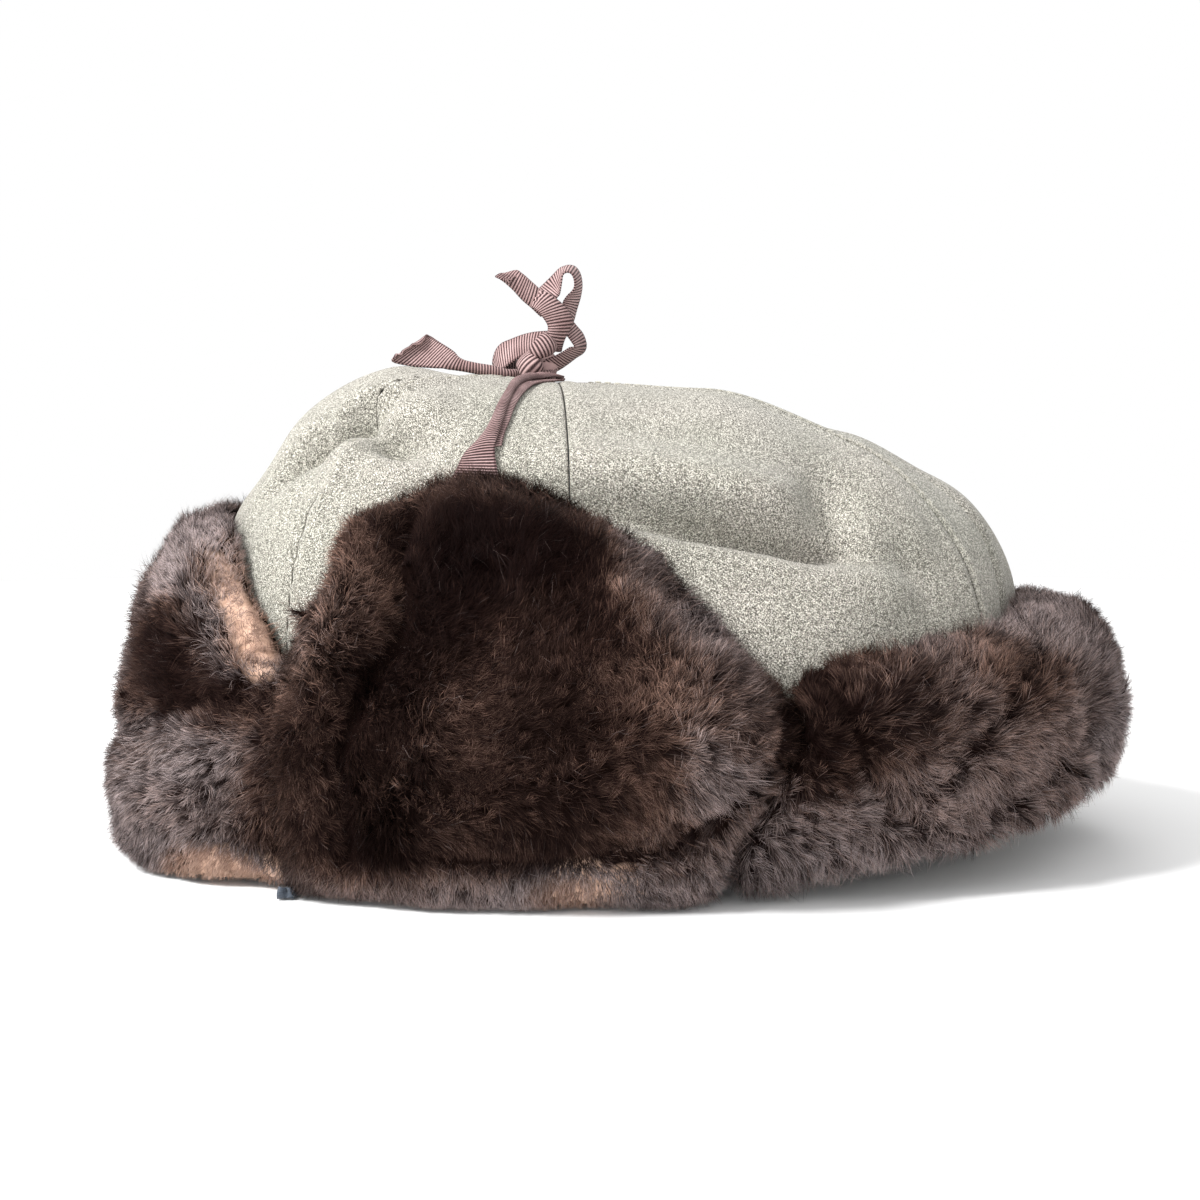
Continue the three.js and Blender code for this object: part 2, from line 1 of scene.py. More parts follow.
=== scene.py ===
# %% [markdown]
# # Dressing a fur hat
# The hat is a soft wool crown with fur flaps folded up all round it and a ribbon tied over the top.
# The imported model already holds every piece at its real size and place, as plain solids.
# This lesson gives each of them the surface that the real one has: felted cloth with sewn seams,
# deep fur made of single hairs, and a ribbed ribbon. Nothing here moves the hat or resizes it.

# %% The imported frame
import math

import bmesh
import bpy
import numpy as np
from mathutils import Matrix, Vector
from mathutils.bvhtree import BVHTree
from mathutils.kdtree import KDTree


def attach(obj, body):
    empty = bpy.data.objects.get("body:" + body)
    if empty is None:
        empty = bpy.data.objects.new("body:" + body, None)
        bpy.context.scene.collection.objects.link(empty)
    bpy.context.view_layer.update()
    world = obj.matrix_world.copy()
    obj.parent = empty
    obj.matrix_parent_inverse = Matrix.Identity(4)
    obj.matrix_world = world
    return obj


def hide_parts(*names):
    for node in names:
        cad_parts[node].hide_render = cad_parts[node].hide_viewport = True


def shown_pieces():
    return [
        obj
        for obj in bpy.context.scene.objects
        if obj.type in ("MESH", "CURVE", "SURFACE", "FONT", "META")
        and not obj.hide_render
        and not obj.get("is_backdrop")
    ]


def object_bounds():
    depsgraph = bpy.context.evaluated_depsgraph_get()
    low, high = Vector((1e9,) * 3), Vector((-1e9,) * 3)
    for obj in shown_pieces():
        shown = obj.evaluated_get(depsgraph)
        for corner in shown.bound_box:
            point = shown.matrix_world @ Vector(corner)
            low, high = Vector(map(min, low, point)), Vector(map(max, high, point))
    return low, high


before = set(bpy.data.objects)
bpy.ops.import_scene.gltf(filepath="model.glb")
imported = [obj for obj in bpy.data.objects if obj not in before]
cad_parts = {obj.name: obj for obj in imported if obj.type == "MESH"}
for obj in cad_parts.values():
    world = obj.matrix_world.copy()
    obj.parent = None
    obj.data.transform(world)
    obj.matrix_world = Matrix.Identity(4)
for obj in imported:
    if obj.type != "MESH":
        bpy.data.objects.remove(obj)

mm = 0.001  # the tables below are in millimetres, as on a maker's drawing
cad_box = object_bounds()
print("the hat's box, in mm:", [[round(c / mm, 1) for c in corner] for corner in cad_box])

# %% [markdown]
# ## The camera, the floor and the light
# The hat stands on a table and is seen from the wearer's left, a little from above.
# The picture's middle is above the hat, because its upper part is empty. A shifted lens could do
# that, but a camera that is simply tilted down shows the same and also works from other sides.

# %% The camera
camera_place = Vector((-4.3, -550, 109)) * mm
camera_aim = Vector((-4.3, 0, 65)) * mm
view_angle = math.radians(34.5)

camera = bpy.data.objects.new("camera", bpy.data.cameras.new("camera"))
bpy.context.scene.collection.objects.link(camera)
camera.data.angle = view_angle
camera.location = camera_place
camera.rotation_euler = (camera_aim - camera_place).to_track_quat("-Z", "Y").to_euler()
bpy.context.scene.camera = camera
print("camera:", [round(c / mm) for c in camera.location], "mm")

# %% [markdown]
# A studio picture has one broad soft light and white surroundings that fill the shadows.
# Dark fur and thick cloth show their depth only when some light grazes them, so the main light
# hangs high and to the left, and a weaker one behind the hat draws a thin edge round it.

# %% The lights
lights = [
    {"name": "main", "place": (-800, -460, 1000), "size": 320, "watts": 25.0},
    {"name": "fill", "place": (-250, -1320, 250), "size": 700, "watts": 5.0},
    {"name": "back", "place": (250, 900, 950), "size": 600, "watts": 3.0},
]
hat_middle = Vector((0, 0, 60)) * mm
for row in lights:
    lamp = bpy.data.lights.new(row["name"], "AREA")
    lamp.shape = "DISK"
    lamp.size = row["size"] * mm
    lamp.energy = row["watts"]
    holder = bpy.data.objects.new(row["name"] + "_light", lamp)
    holder.location = Vector(row["place"]) * mm
    holder.rotation_euler = (hat_middle - holder.location).to_track_quat("-Z", "Y").to_euler()
    bpy.context.scene.collection.objects.link(holder)

surroundings = bpy.data.worlds.new("surroundings")
surroundings.use_nodes = True
surroundings.node_tree.nodes["Background"].inputs["Color"].default_value = (1.0, 1.0, 1.0, 1)
surroundings.node_tree.nodes["Background"].inputs["Strength"].default_value = 1.0
bpy.context.scene.world = surroundings
bpy.context.scene.view_settings.view_transform = "Standard"
print(len(lights), "lights")

# %% [markdown]
# ## Writing materials as sums
# A material is a tree of nodes. Placing the nodes by hand hides what they work out, so a small
# class wraps a socket and lets it take part in sums: 1 - mask adds a Math node that subtracts.
# Everything else comes from one method that makes any node from its settings and its sockets.

# %% A wire that can be added and multiplied
class Wire:
    """A socket of a material that takes part in sums."""

    def __init__(self, finish, socket):
        self.finish = finish
        self.socket = socket

    def sum(self, operation, *values):
        return self.finish.node("ShaderNodeMath", {"operation": operation}, dict(enumerate(values)))

    def __add__(self, other):
        return self.sum("ADD", self, other)

    __radd__ = __add__

    def __sub__(self, other):
        return self.sum("SUBTRACT", self, other)

    def __rsub__(self, other):
        return self.sum("SUBTRACT", other, self)

    def __mul__(self, other):
        return self.sum("MULTIPLY", self, other)

    __rmul__ = __mul__

    def __truediv__(self, other):
        return self.sum("DIVIDE", self, other)

    def __pow__(self, other):
        return self.sum("POWER", self, other)

    def sine(self):
        return self.sum("SINE", self)

    def held(self):
        """The value kept between 0 and 1."""
        return self.sum("MINIMUM", self.sum("MAXIMUM", self, 0.0), 1.0)

    def bell(self, middle, width):
        """1 at the middle and 0 a few widths away from it."""
        away = (self - middle) / width
        return self.sum("EXPONENT", away * away * -1.0)


# %% A finish and its nodes
class Finish:
    """A material, and the one method that adds a node to it."""

    def __init__(self, name, **constants):
        self.material = bpy.data.materials.new(name)
        self.material.use_nodes = True
        self.nodes = self.material.node_tree.nodes
        self.links = self.material.node_tree.links
        self.surface = self.nodes["Principled BSDF"]
        for socket, value in constants.items():
            self.surface.inputs[socket.replace("_", " ")].default_value = value

    def node(self, kind, settings=None, sockets=None, output=0):
        made = self.nodes.new(kind)
        settings = dict(settings or {})
        stops = settings.pop("stops", None)
        for key, value in settings.items():
            setattr(made, key, value)
        if stops:
            ramp = made.color_ramp
            while len(ramp.elements) < len(stops):
                ramp.elements.new(1.0)
            for element, (place, colour) in zip(ramp.elements, stops):
                element.position = place
                element.color = (*colour, 1)
        for key, value in (sockets or {}).items():
            self.put(made.inputs[key], value)
        return Wire(self, made.outputs[output])

    def put(self, socket, value):
        if isinstance(value, Wire):
            self.links.new(value.socket, socket)
        elif hasattr(value, "__len__") and len(value) == 3 and socket.type == "RGBA":
            socket.default_value = (*value, 1)
        else:
            socket.default_value = value

    def show(self, **sockets):
        for key, value in sockets.items():
            self.put(self.surface.inputs[key.replace("_", " ")], value)

    def place(self):
        return self.node("ShaderNodeTexCoord", output="Object")

    def map(self, name):
        """The two numbers of a piece's own UV map."""
        both = self.node("ShaderNodeUVMap", {"uv_map": name})
        return [self.node("ShaderNodeSeparateXYZ", sockets={0: both}, output=i) for i in (0, 1)]

    def noise(self, size, detail=2.0, roughness=0.5):
        """Soft noise whose lumps are about that many millimetres wide."""
        sockets = {"Vector": self.place(), "Scale": 1 / (size * mm)}
        sockets.update({"Detail": detail, "Roughness": roughness})
        return self.node("ShaderNodeTexNoise", sockets=sockets)

    def ramp(self, value, *stops):
        return self.node("ShaderNodeValToRGB", {"stops": stops}, {0: value})

    def mix(self, share, first, second, blend="MIX"):
        settings = {"data_type": "RGBA", "blend_type": blend}
        return self.node("ShaderNodeMix", settings, {0: share, 6: first, 7: second}, output=2)

    def bump(self, height, depth, strength=1.0):
        """A surface that looks raised by height times that many millimetres."""
        sockets = {"Height": height, "Distance": depth * mm, "Strength": strength}
        return self.node("ShaderNodeBump", sockets=sockets)


# %% The floor
floor_finish = Finish("pale_floor", Base_Color=(0.82, 0.82, 0.82, 1), Roughness=0.95)
floor_shape = bmesh.new()
bmesh.ops.create_circle(floor_shape, cap_ends=True, segments=96, radius=1.1)
floor_mesh = bpy.data.meshes.new("floor")
floor_shape.to_mesh(floor_mesh)
floor_shape.free()
floor_mesh.materials.append(floor_finish.material)
floor = bpy.data.objects.new("floor", floor_mesh)
floor.location.z = -0.1 * mm
bpy.context.scene.collection.objects.link(floor)
floor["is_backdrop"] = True

# %% [markdown]
# ## The crown's shape
# The crown is a soft bowl upside down. Its plan is a rounded oval and its side is a steep wall that
# turns over into a flat top. Both are superellipses: one power sets how square the curve is, so a
# few numbers give the whole form. The same numbers shape the solids under it.

# %% The crown's dimensions
apex_x = -17.0  # where the seams meet
rim_z = 4.0
rim_half_length = 104.0
rim_half_width = 84.0
bulge = 6.0
front_bulge = 5.0
plan_power = 2.3
side_power = 3.0
front_power = 3.9
back_power = 5.0
wool_thickness = 2.0
# The height of the crown's top line over each place along the hat
ridge_x = [-112, -63, -40, -17, 24, 64, 85, 112]
ridge_height = [130, 133.5, 128.5, 126.5, 124, 116, 113, 121]


def read_table(places, values, at):
    """A smooth reading between the rows of a table, level at every row."""
    places, values = np.asarray(places, float), np.asarray(values, float)
    at = np.clip(at, places[0], places[-1])
    row = np.clip(np.searchsorted(places, at, side="right") - 1, 0, len(places) - 2)
    share = (at - places[row]) / (places[row + 1] - places[row])
    return values[row] + (values[row + 1] - values[row]) * share * share * (3 - 2 * share)


def smooth_step(value, low, high):
    share = np.clip((value - low) / (high - low), 0, 1)
    return share * share * (3 - 2 * share)


def unit(vectors):
    return vectors / np.maximum(np.linalg.norm(vectors, axis=-1, keepdims=True), 1e-9)


# %% [markdown]
# A place on the crown is a turn in degrees, 0 at the front and 90 at the wearer's left, and a
# rise from 0 at the rim to 1 where the seams meet. Dents and folds are soft hollows in a table:
# a row says where one lies, how it is tilted, how long, wide and deep it is.

# %% Dents and folds of the cloth
# turn, z, tilt in degrees, half length, half width, depth; a depth below 0 stands out
cloth_folds = np.array([
    (105, 89, -10, 36, 4.4, 9.5),
    (105, 83.5, -10, 34, 2.8, -1.6),
    (105, 78, -10, 36, 8, 1.5),
    (123, 92, 28, 15, 7.4, 7.6),
    (104, 99, -9, 38, 7.0, -5.5),
    (110, 58, -6, 34, 15, -3.5),
    (38, 113.5, 18, 15, 3.6, 11),
    (38, 120, 18, 14, 4.2, -3.0),
    (30, 107, 70, 10, 4.5, 4.5),
    (53, 112.5, -12, 14, 3.6, 9.5),
    (54, 119, -10, 14, 4.0, -2.5),
    (47, 107, 75, 9, 3.5, -2.0),
    (36, 105, -25, 14, 8, 3.5),
    (135, 80, -50, 10, 7, 2.5),
    (167, 76, 84, 26, 6, 6),
    (184, 66, 80, 26, 14, -7),
    (-70, 92, 10, 30, 8, 4),
    (-128, 90, -18, 26, 8, 4.5),
    (6, 104, 0, 20, 8, 3),
    # finer creases inside the broad ones
    (39, 115, 17, 10, 2.6, 2.2),
    (43.5, 109, 88, 10, 1.8, -1.0),
    (51, 110.5, -10, 12, 2.4, 1.8),
    (60, 107, -18, 14, 2.6, 0.9),
    (105, 88.5, -10, 26, 2.4, 2.2),
    (118, 85, -2, 12, 3.0, 1.5),
    (124, 93, 28, 12, 3.6, 1.0),
    (112, 76, -8, 30, 9, -1.6),
    (138, 74, 30, 22, 6, 1.0),
    (134, 66, 10, 24, 5, 0.9),
    (170, 78, 86, 20, 2.4, 1.6),
    (142, 96, 70, 18, 6, -0.8),
    (26, 84, 70, 26, 6, 0.8),
    (98, 112, -4, 26, 5, 0.7),
    (-60, 108, -14, 16, 4, 1.4),
    (-96, 100, 8, 26, 5, 1.2),
    (-140, 104, -40, 16, 5, 1.0),
    (-34, 106, 30, 16, 5, 1.6),
    (-160, 84, 70, 20, 5, 1.4),
])
arc_radius = 105.0


def relief(rows, turn, z):
    """The sum of a table's dents at each place."""
    total = np.zeros_like(turn)
    for at_turn, at_z, tilt, long, wide, deep in rows:
        away = turn - at_turn
        along = np.radians(away - 360 * np.round(away / 360)) * arc_radius
        up = z - at_z
        c, s = math.cos(math.radians(tilt)), math.sin(math.radians(tilt))
        total += deep * np.exp(-(((along * c + up * s) / long) ** 2) - ((up * c - along * s) / wide) ** 2)
    return total


# %% Points of the crown
def crown_base(turn, rise):
    """The crown without folds, in millimetres."""
    c, s = np.cos(np.radians(turn)), np.sin(np.radians(turn))
    front, back = np.maximum(0, c) ** 2, np.maximum(0, -c) ** 2
    power = side_power + (front_power - side_power) * front + (back_power - side_power) * back
    angle = np.clip(rise, 0, 1) * math.pi / 2
    spread = np.maximum(np.cos(angle), 0) ** (2 / power)
    lift = np.sin(angle) ** (2 / power)
    swell = (bulge + front_bulge * front * lift) * np.sin(math.pi * lift)
    plan_x = -np.sign(c) * np.abs(c) ** (2 / plan_power) * (rim_half_length + swell)
    plan_y = -np.sign(s) * np.abs(s) ** (2 / plan_power) * (rim_half_width + swell)
    x = apex_x + (plan_x - apex_x) * spread
    height = read_table(ridge_x, ridge_height, x)
    return np.stack([x, plan_y * spread, rim_z + (height - rim_z) * lift], -1)


def crown_normal(turn, rise):
    step = 0.004
    low = np.minimum(rise, 1 - 3 * step)
    around = crown_base(turn + 0.5, low) - crown_base(turn - 0.5, low)
    up = crown_base(turn, low + step) - crown_base(turn, np.maximum(0, low - step))
    normal = unit(np.cross(around, up))
    top = smooth_step(rise, 0.9, 1.0)[..., None]
    return unit(normal * (1 - top) + np.array([0, 0, 1.0]) * top)


def crown_point(turn, rise, out=0.0):
    """The crown with its folds, moved outwards by out."""
    turn, rise = np.broadcast_arrays(np.asarray(turn, float), np.asarray(rise, float))
    base = crown_base(turn, rise)
    folds = relief(cloth_folds, turn, base[..., 2]) * (1 - smooth_step(rise, 0.75, 1.0))
    return base + crown_normal(turn, rise) * (np.asarray(out) - folds)[..., None]


print("top of the crown:", round(float(crown_point(0.0, 1.0)[2]), 1), "mm")

# %% [markdown]
# ## Sheets laid on a form
# Cloth pieces start as a flat grid, as they would on the cutting table, and each point of the grid
# is moved to its place on the hat. The grid's own shares across and along are kept, so the cloth
# can carry a map in real millimetres for its weave and its stitches.

# %% A grid laid on a form
def laid_sheet(across, along, place, measure, map_name="cloth"):
    """A grid of across by along squares. place(u, v) gives its points in mm, measure(u, v) its map."""
    shape = bmesh.new()
    bmesh.ops.create_grid(shape, x_segments=across, y_segments=along, size=0.5)
    shares = np.array([v.co[:2] for v in shape.verts]) + 0.5
    points = place(shares[:, 0], shares[:, 1]) * mm
    for vert, point in zip(shape.verts, points):
        vert.co = point
    held = np.stack(measure(shares[:, 0], shares[:, 1]), -1)
    layer = shape.loops.layers.uv.new(map_name)
    for face in shape.faces:
        for loop in face.loops:
            loop[layer].uv = held[loop.vert.index]
    return shape


def add_piece(name, shape, finish, replaced=(), merge=0.0):
    """Makes a bmesh a smooth object that rides on the hat."""
    if merge:
        bmesh.ops.remove_doubles(shape, verts=shape.verts, dist=merge * mm)
    for face in shape.faces:
        face.smooth = True
    mesh = bpy.data.meshes.new(name)
    shape.to_mesh(mesh)
    shape.free()
    mesh.materials.append(finish.material)
    piece = bpy.data.objects.new(name, mesh)
    bpy.context.scene.collection.objects.link(piece)
    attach(piece, "root")
    if replaced:
        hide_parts(*replaced)
    return piece


def thicken(piece, thickness):
    """Gives a sheet its wall, inwards from the face that shows."""
    wall = piece.modifiers.new("wall", "SOLIDIFY")
    wall.thickness = thickness * mm
    wall.offset = -1
    wall.use_even_offset = False
    return piece


# %% [markdown]
# ## The wool cloth
# The cloth is a felted heather twill: pale and dark fibres are spun together, so from close by it is
# a fine salt and pepper, and from further off a grey green. Two layers of noise make the
# fibres, a faint diagonal wave is the twill that shows through the felt, and slow noise makes
# the worn and the greyer places. The same values raise the surface a little.

# %% The wool's finish
grain = 0.26  # mm, the size of one speck
twill_pitch = 1.0  # mm between the diagonal lines of the weave
stitch_pitch = 3.0  # mm between two stitches
stitch_aside = 3.0  # mm from the seam to its stitches


def heather_wool():
    wool = Finish("heather_wool", Roughness=0.95, Sheen_Weight=0.15, Sheen_Roughness=0.4)
    wool.surface.inputs["Specular IOR Level"].default_value = 0.15
    aside, along = wool.map("cloth")
    specks = wool.noise(grain, detail=1.5, roughness=0.6)
    tufts = wool.noise(grain * 3.2, detail=1.0)
    slow = wool.noise(34, detail=2.0)
    twill = ((aside + along) * (2 * math.pi / (twill_pitch * mm))).sine()
    bare = ((slow - 0.46) * 7.0).held()
    fibres = specks * 0.88 + tufts * 0.18 + twill * bare * 0.02 - 0.03
    colour = wool.ramp(
        fibres,
        (0.37, (0.046, 0.043, 0.036)),
        (0.46, (0.158, 0.150, 0.131)),
        (0.54, (0.362, 0.346, 0.308)),
        (0.63, (0.780, 0.753, 0.690)),
    )
    worn = wool.mix(wool.ramp(slow, (0.35, (0, 0, 0)), (0.70, (1, 1, 1))),
                    (0.93, 0.94, 0.90), (1.03, 1.01, 0.99))
    colour = wool.mix(1.0, colour, worn, "MULTIPLY")
    seam = aside.bell(0.0, 0.3 * mm) * (tufts * 1.6 - 0.4).held()
    colour = wool.mix(seam * 0.55, colour, (0.07, 0.065, 0.052))
    thread = (along * (2 * math.pi / (stitch_pitch * mm))).sine() * 0.5 + 0.5
    pull = aside.bell(stitch_aside * mm, 0.9 * mm) * thread
    wool.show(Base_Color=colour)
    wool.show(Normal=wool.bump(fibres + twill * bare * 0.05 - pull * 0.35, 0.5, 0.7))
    return wool


wool_finish = heather_wool()

# %% [markdown]
# ## The crown's panels
# Six panels are sewn together. Each is its own sheet, with its points set closer together beside
# the seams: there the cloth turns down into the seam and puffs up next to it. Where the seam
# is stitched flat from outside, the cloth on one side stands a little higher.

# %% One panel
seam_turns = [43, 86, 149, 211, 274, 317]
panel_names = ["left_front", "left_back", "back", "right_back", "right_front", "front"]
edge_steps = [0.1, 0.4, 0.75, 1.2, 1.8, 2.6, 3.6, 5.0]  # mm from the seam to each row of points
square = 2.0  # mm, the size of the grid's squares elsewhere
plain_seams = (86, 274)  # the seams that show as a sharp dark line; the others are pressed flat
seam_depth = 0.4
flat_seam_depth = 0.16
flat_seam_hidden = 0.45  # mm by which a pressed seam's dark middle is hidden
seam_width = 0.42
gathered_seams = (43, 317)  # the seams that are gathered into small puckers
pucker_pitch = 7.0
pucker_height = 0.35
puff = 0.45
felled_seams = (149, 211)  # the seams with a raised, stitched edge
felled_rise = 0.7
felled_width = 3.8


def even_rises(turn, step):
    """Rises that are step millimetres apart along the crown at that turn."""
    fine = np.sin(np.linspace(0, 1, 1200) * math.pi / 2) ** 2
    points = crown_base(np.full_like(fine, turn), fine)
    run = np.concatenate([[0], np.cumsum(np.linalg.norm(np.diff(points, axis=0), axis=1))])
    count = int(run[-1] / step)
    return np.interp(np.linspace(0, run[-1], count + 1), run, fine), run[-1]


def panel_sheet(start, end):
    rises, length = even_rises((start + end) / 2, square)
    widths = []
    for rise in rises:
        turns = np.linspace(start, end, 24)
        points = crown_base(turns, np.full_like(turns, rise))
        widths.append(np.linalg.norm(np.diff(points, axis=0), axis=1).sum())
    edges = len(edge_steps)
    columns = 2 * edges - 1 + int((max(widths) - 2 * edge_steps[-1]) / square)

    def spread(u, v):
        """Each point's rise, its distance from the panel's start and the panel's width there."""
        rise = np.interp(v, np.linspace(0, 1, len(rises)), rises)
        width = np.interp(v, np.linspace(0, 1, len(rises)), widths)
        shrink = np.minimum(1, width / 30)
        column = np.round(u * columns)
        steps = np.array(edge_steps)
        inner = (column - edges + 1) / (columns - 2 * edges + 2)
        middle = steps[-1] * shrink + inner * (width - 2 * steps[-1] * shrink)
        low = steps[np.clip(column, 0, edges - 1).astype(int)] * shrink
        high = width - steps[np.clip(columns - column, 0, edges - 1).astype(int)] * shrink
        along = np.where(column < edges, low, np.where(column > columns - edges, high, middle))
        return rise, along, np.maximum(width, 1e-6)

    plain = [turn % 360 in plain_seams for turn in (start, end)]
    gathered = [turn % 360 in gathered_seams for turn in (start, end)]

    def place(u, v):
        rise, along, width = spread(u, v)
        from_seam = np.minimum(along, width - along)
        first_half = along < width / 2
        fade = np.clip(width / 25, 0, 1)
        depth = np.where(np.where(first_half, *plain), seam_depth, flat_seam_depth)
        out = -depth * np.exp(-((from_seam / seam_width) ** 2)) * fade
        puckers = np.sin(v * length * 2 * math.pi / pucker_pitch + 2 * np.sin(v * 19))
        puckers = puckers * np.exp(-((from_seam / 4) ** 2)) * np.where(first_half, *gathered)
        out += pucker_height * puckers * fade
        out += puff * np.exp(-(((from_seam - 3.4) / 2.2) ** 2)) * fade
        if start in felled_seams:
            out += felled_rise * np.exp(-((along / felled_width) ** 6)) * fade
        if end in felled_seams and start not in felled_seams:
            out += 0.25 * np.exp(-(((width - along) / felled_width) ** 6)) * fade
        turn = start + (end - start) * along / width
        return crown_point(turn, rise, out)

    def measure(u, v):
        rise, along, width = spread(u, v)
        aside = np.minimum(along, width - along)
        shown = np.where(along < width / 2, *plain)
        return np.where(shown, aside, np.maximum(aside, flat_seam_hidden)) * mm, v * length * mm

    return laid_sheet(columns, len(rises) - 1, place, measure)


for name, start, end in zip(panel_names, seam_turns, seam_turns[1:] + [seam_turns[0] + 360]):
    panel_shape = panel_sheet(start, end)
    faces = len(panel_shape.faces)
    panel = add_piece("crown_" + name, panel_shape, wool_finish, ["crown_panel_" + name], merge=0.02)
    thicken(panel, wool_thickness)
    print(panel.name, faces, "squares")

# %% [markdown]
# Outside stitches hold the seam of the raised edge. A stitch is a short rounded bead of thread
# that sinks into the felt at both ends. There are hundreds, so each is a small sphere with few
# faces, stretched along the seam, and all of them are one mesh.

# %% The stitches along the raised seams
stitch_length = 2.1
stitch_thickness = 0.5
thread_finish = Finish("wool_thread", Base_Color=(0.40, 0.38, 0.32, 1), Roughness=0.9)
stitch_rows = [
    {"turn": 149, "aside": 1.0, "out": 0.75},
    {"turn": 211, "aside": 1.0, "out": 0.75},
    {"turn": 43, "aside": 3.0, "out": 0.38},
    {"turn": 317, "aside": -3.0, "out": 0.38},
]
stitches = bmesh.new()
for row in stitch_rows:
    rises, run = even_rises(row["turn"], stitch_pitch)
    for rise in rises[2:-4]:
        foot = crown_point(row["turn"], rise)
        side = unit(crown_point(row["turn"] + 0.3, rise) - foot)
        turn = row["turn"] + row["aside"] / np.linalg.norm(
            crown_point(row["turn"] + 1, rise) - foot)
        middle = crown_point(turn, rise, row["out"])
        ahead = unit(crown_point(turn, min(1, rise + 0.01), row["out"]) - middle)
        facing = unit(np.cross(side, ahead))
        bead = bmesh.ops.create_uvsphere(stitches, u_segments=6, v_segments=4, radius=0.5 * mm)
        axes = np.stack([ahead * stitch_length, side * stitch_thickness, facing * stitch_thickness])
        for vert in bead["verts"]:
            vert.co = Vector(np.array(vert.co) @ axes + middle * mm)
print(len(stitches.faces), "faces of thread")
add_piece("seam_stitches", stitches, thread_finish)

# %% [markdown]
# ## The lining
# Inside the crown hangs a thin blue grey twill lining. It is a second bowl, a little smaller
# and smoother than the crown, because it doesn't follow every dent. It shows from below.

# %% The lining's finish and shape
lining_gap = 1.8
lining_rim_gap = 0.7
lining_slack_rise = 0.14
lining_wall = 0.9
near_turns = np.array([-9, -4.5, 0, 4.5, 9])
near_heights = np.array([-12, -6, 0, 6, 12])


def twill_lining():
    twill = Finish("twill_lining", Roughness=0.62, Sheen_Weight=0.15)
    aside, along = twill.map("cloth")
    wave = ((aside * 0.7 + along) * (2 * math.pi / (1.3 * mm))).sine() * 0.5 + 0.5
    slow = twill.noise(24, detail=2.0)
    tone = twill.ramp(slow, (0.3, (0.022, 0.031, 0.046)), (0.7, (0.042, 0.055, 0.076)))
    twill.show(Base_Color=twill.mix(wave * 0.35, tone, (0.09, 0.11, 0.14)))
    twill.show(Normal=twill.bump(wave, 0.12, 0.6))
    return twill


def lining_point(turn, rise):
    base = crown_base(turn, rise)
    deepest = np.zeros_like(turn)
    for more in near_turns:
        for up in near_heights:
            deepest = np.maximum(deepest, relief(cloth_folds, turn + more, base[:, 2] + up))
    deepest *= 1 - smooth_step(rise, 0.75, 1.0)
    slack = np.clip(rise / lining_slack_rise, 0, 1)
    gap = lining_rim_gap + (lining_gap + deepest - lining_rim_gap) * slack
    return base - crown_normal(turn, rise) * (wool_thickness + gap)[:, None]


lining_rises, lining_length = even_rises(90, 5.0)
lining_around = 540.0
lining_shape = laid_sheet(
    108, len(lining_rises) - 1,
    lambda u, v: lining_point(360 * u, np.interp(v, np.linspace(0, 1, len(lining_rises)), lining_rises)),
    lambda u, v: (u * lining_around * mm, v * lining_length * mm),
)
lining_finish = twill_lining()
lining_cloth = add_piece("lining_cloth", lining_shape, lining_finish, ["lining"], merge=0.02)
thicken(lining_cloth, lining_wall)
print("lining:", len(lining_cloth.data.polygons), "faces")


def hanging_bit(sign):
    """A crumpled bit of lining that runs out under the fur and peeps out beside the ear flap."""
    def place(u, v):
        curled = np.clip(1 - v / 0.2, 0, 1)
        inwards = np.clip((v - 0.2) / 0.8, 0, 1)
        crumple = 0.5 * np.sin(u * 7 + v * 8) + 0.3 * np.sin(v * 19 - u * 5)
        across = (u - 0.5) * (4.0 - 1.2 * curled)
        x = -80 + 8 * inwards + across
        y = sign * (92 + crumple - 28 * inwards)
        return np.stack([x, y, 0.8 + 2.2 * curled + 2.2 * inwards], -1)

    return laid_sheet(8, 30, place, lambda u, v: (u * 4 * mm, v * 32 * mm))


for side, sign in (("left", -1), ("right", 1)):
    tab = add_piece(side + "_lining_tab", hanging_bit(sign), lining_finish, ["lining"])
    thicken(tab, 0.6)

# %% [markdown]
# ## The fur's hide
# Fur is a skin with hair on it, so it is made in that order. The solid of each flap becomes a
# soft skin: it is rebuilt from small cubes, smoothed, and drawn in a little, which leaves room
# for the hair to fill the flap's real size. Creases are pressed in deeper. Nothing on worn fur is
# even, so a sum of a few sine waves in random directions also raises and sinks the skin a
# little. A fixed seed keeps it the same each time.

# %% Soft unevenness
chance = np.random.default_rng(20)


def waves(points, size, count=14):
    """A smooth uneven value, mostly between -1 and 1, that changes over about size mm."""
    total = np.zeros(len(points))
    for _ in range(count):
        direction = unit(chance.normal(size=3))
        pace = 2 * math.pi / (size * chance.uniform(1.4, 3.2))
        total += np.sin(points @ direction * pace + chance.uniform(0, 2 * math.pi))
    return total / math.sqrt(count / 2) * 0.7


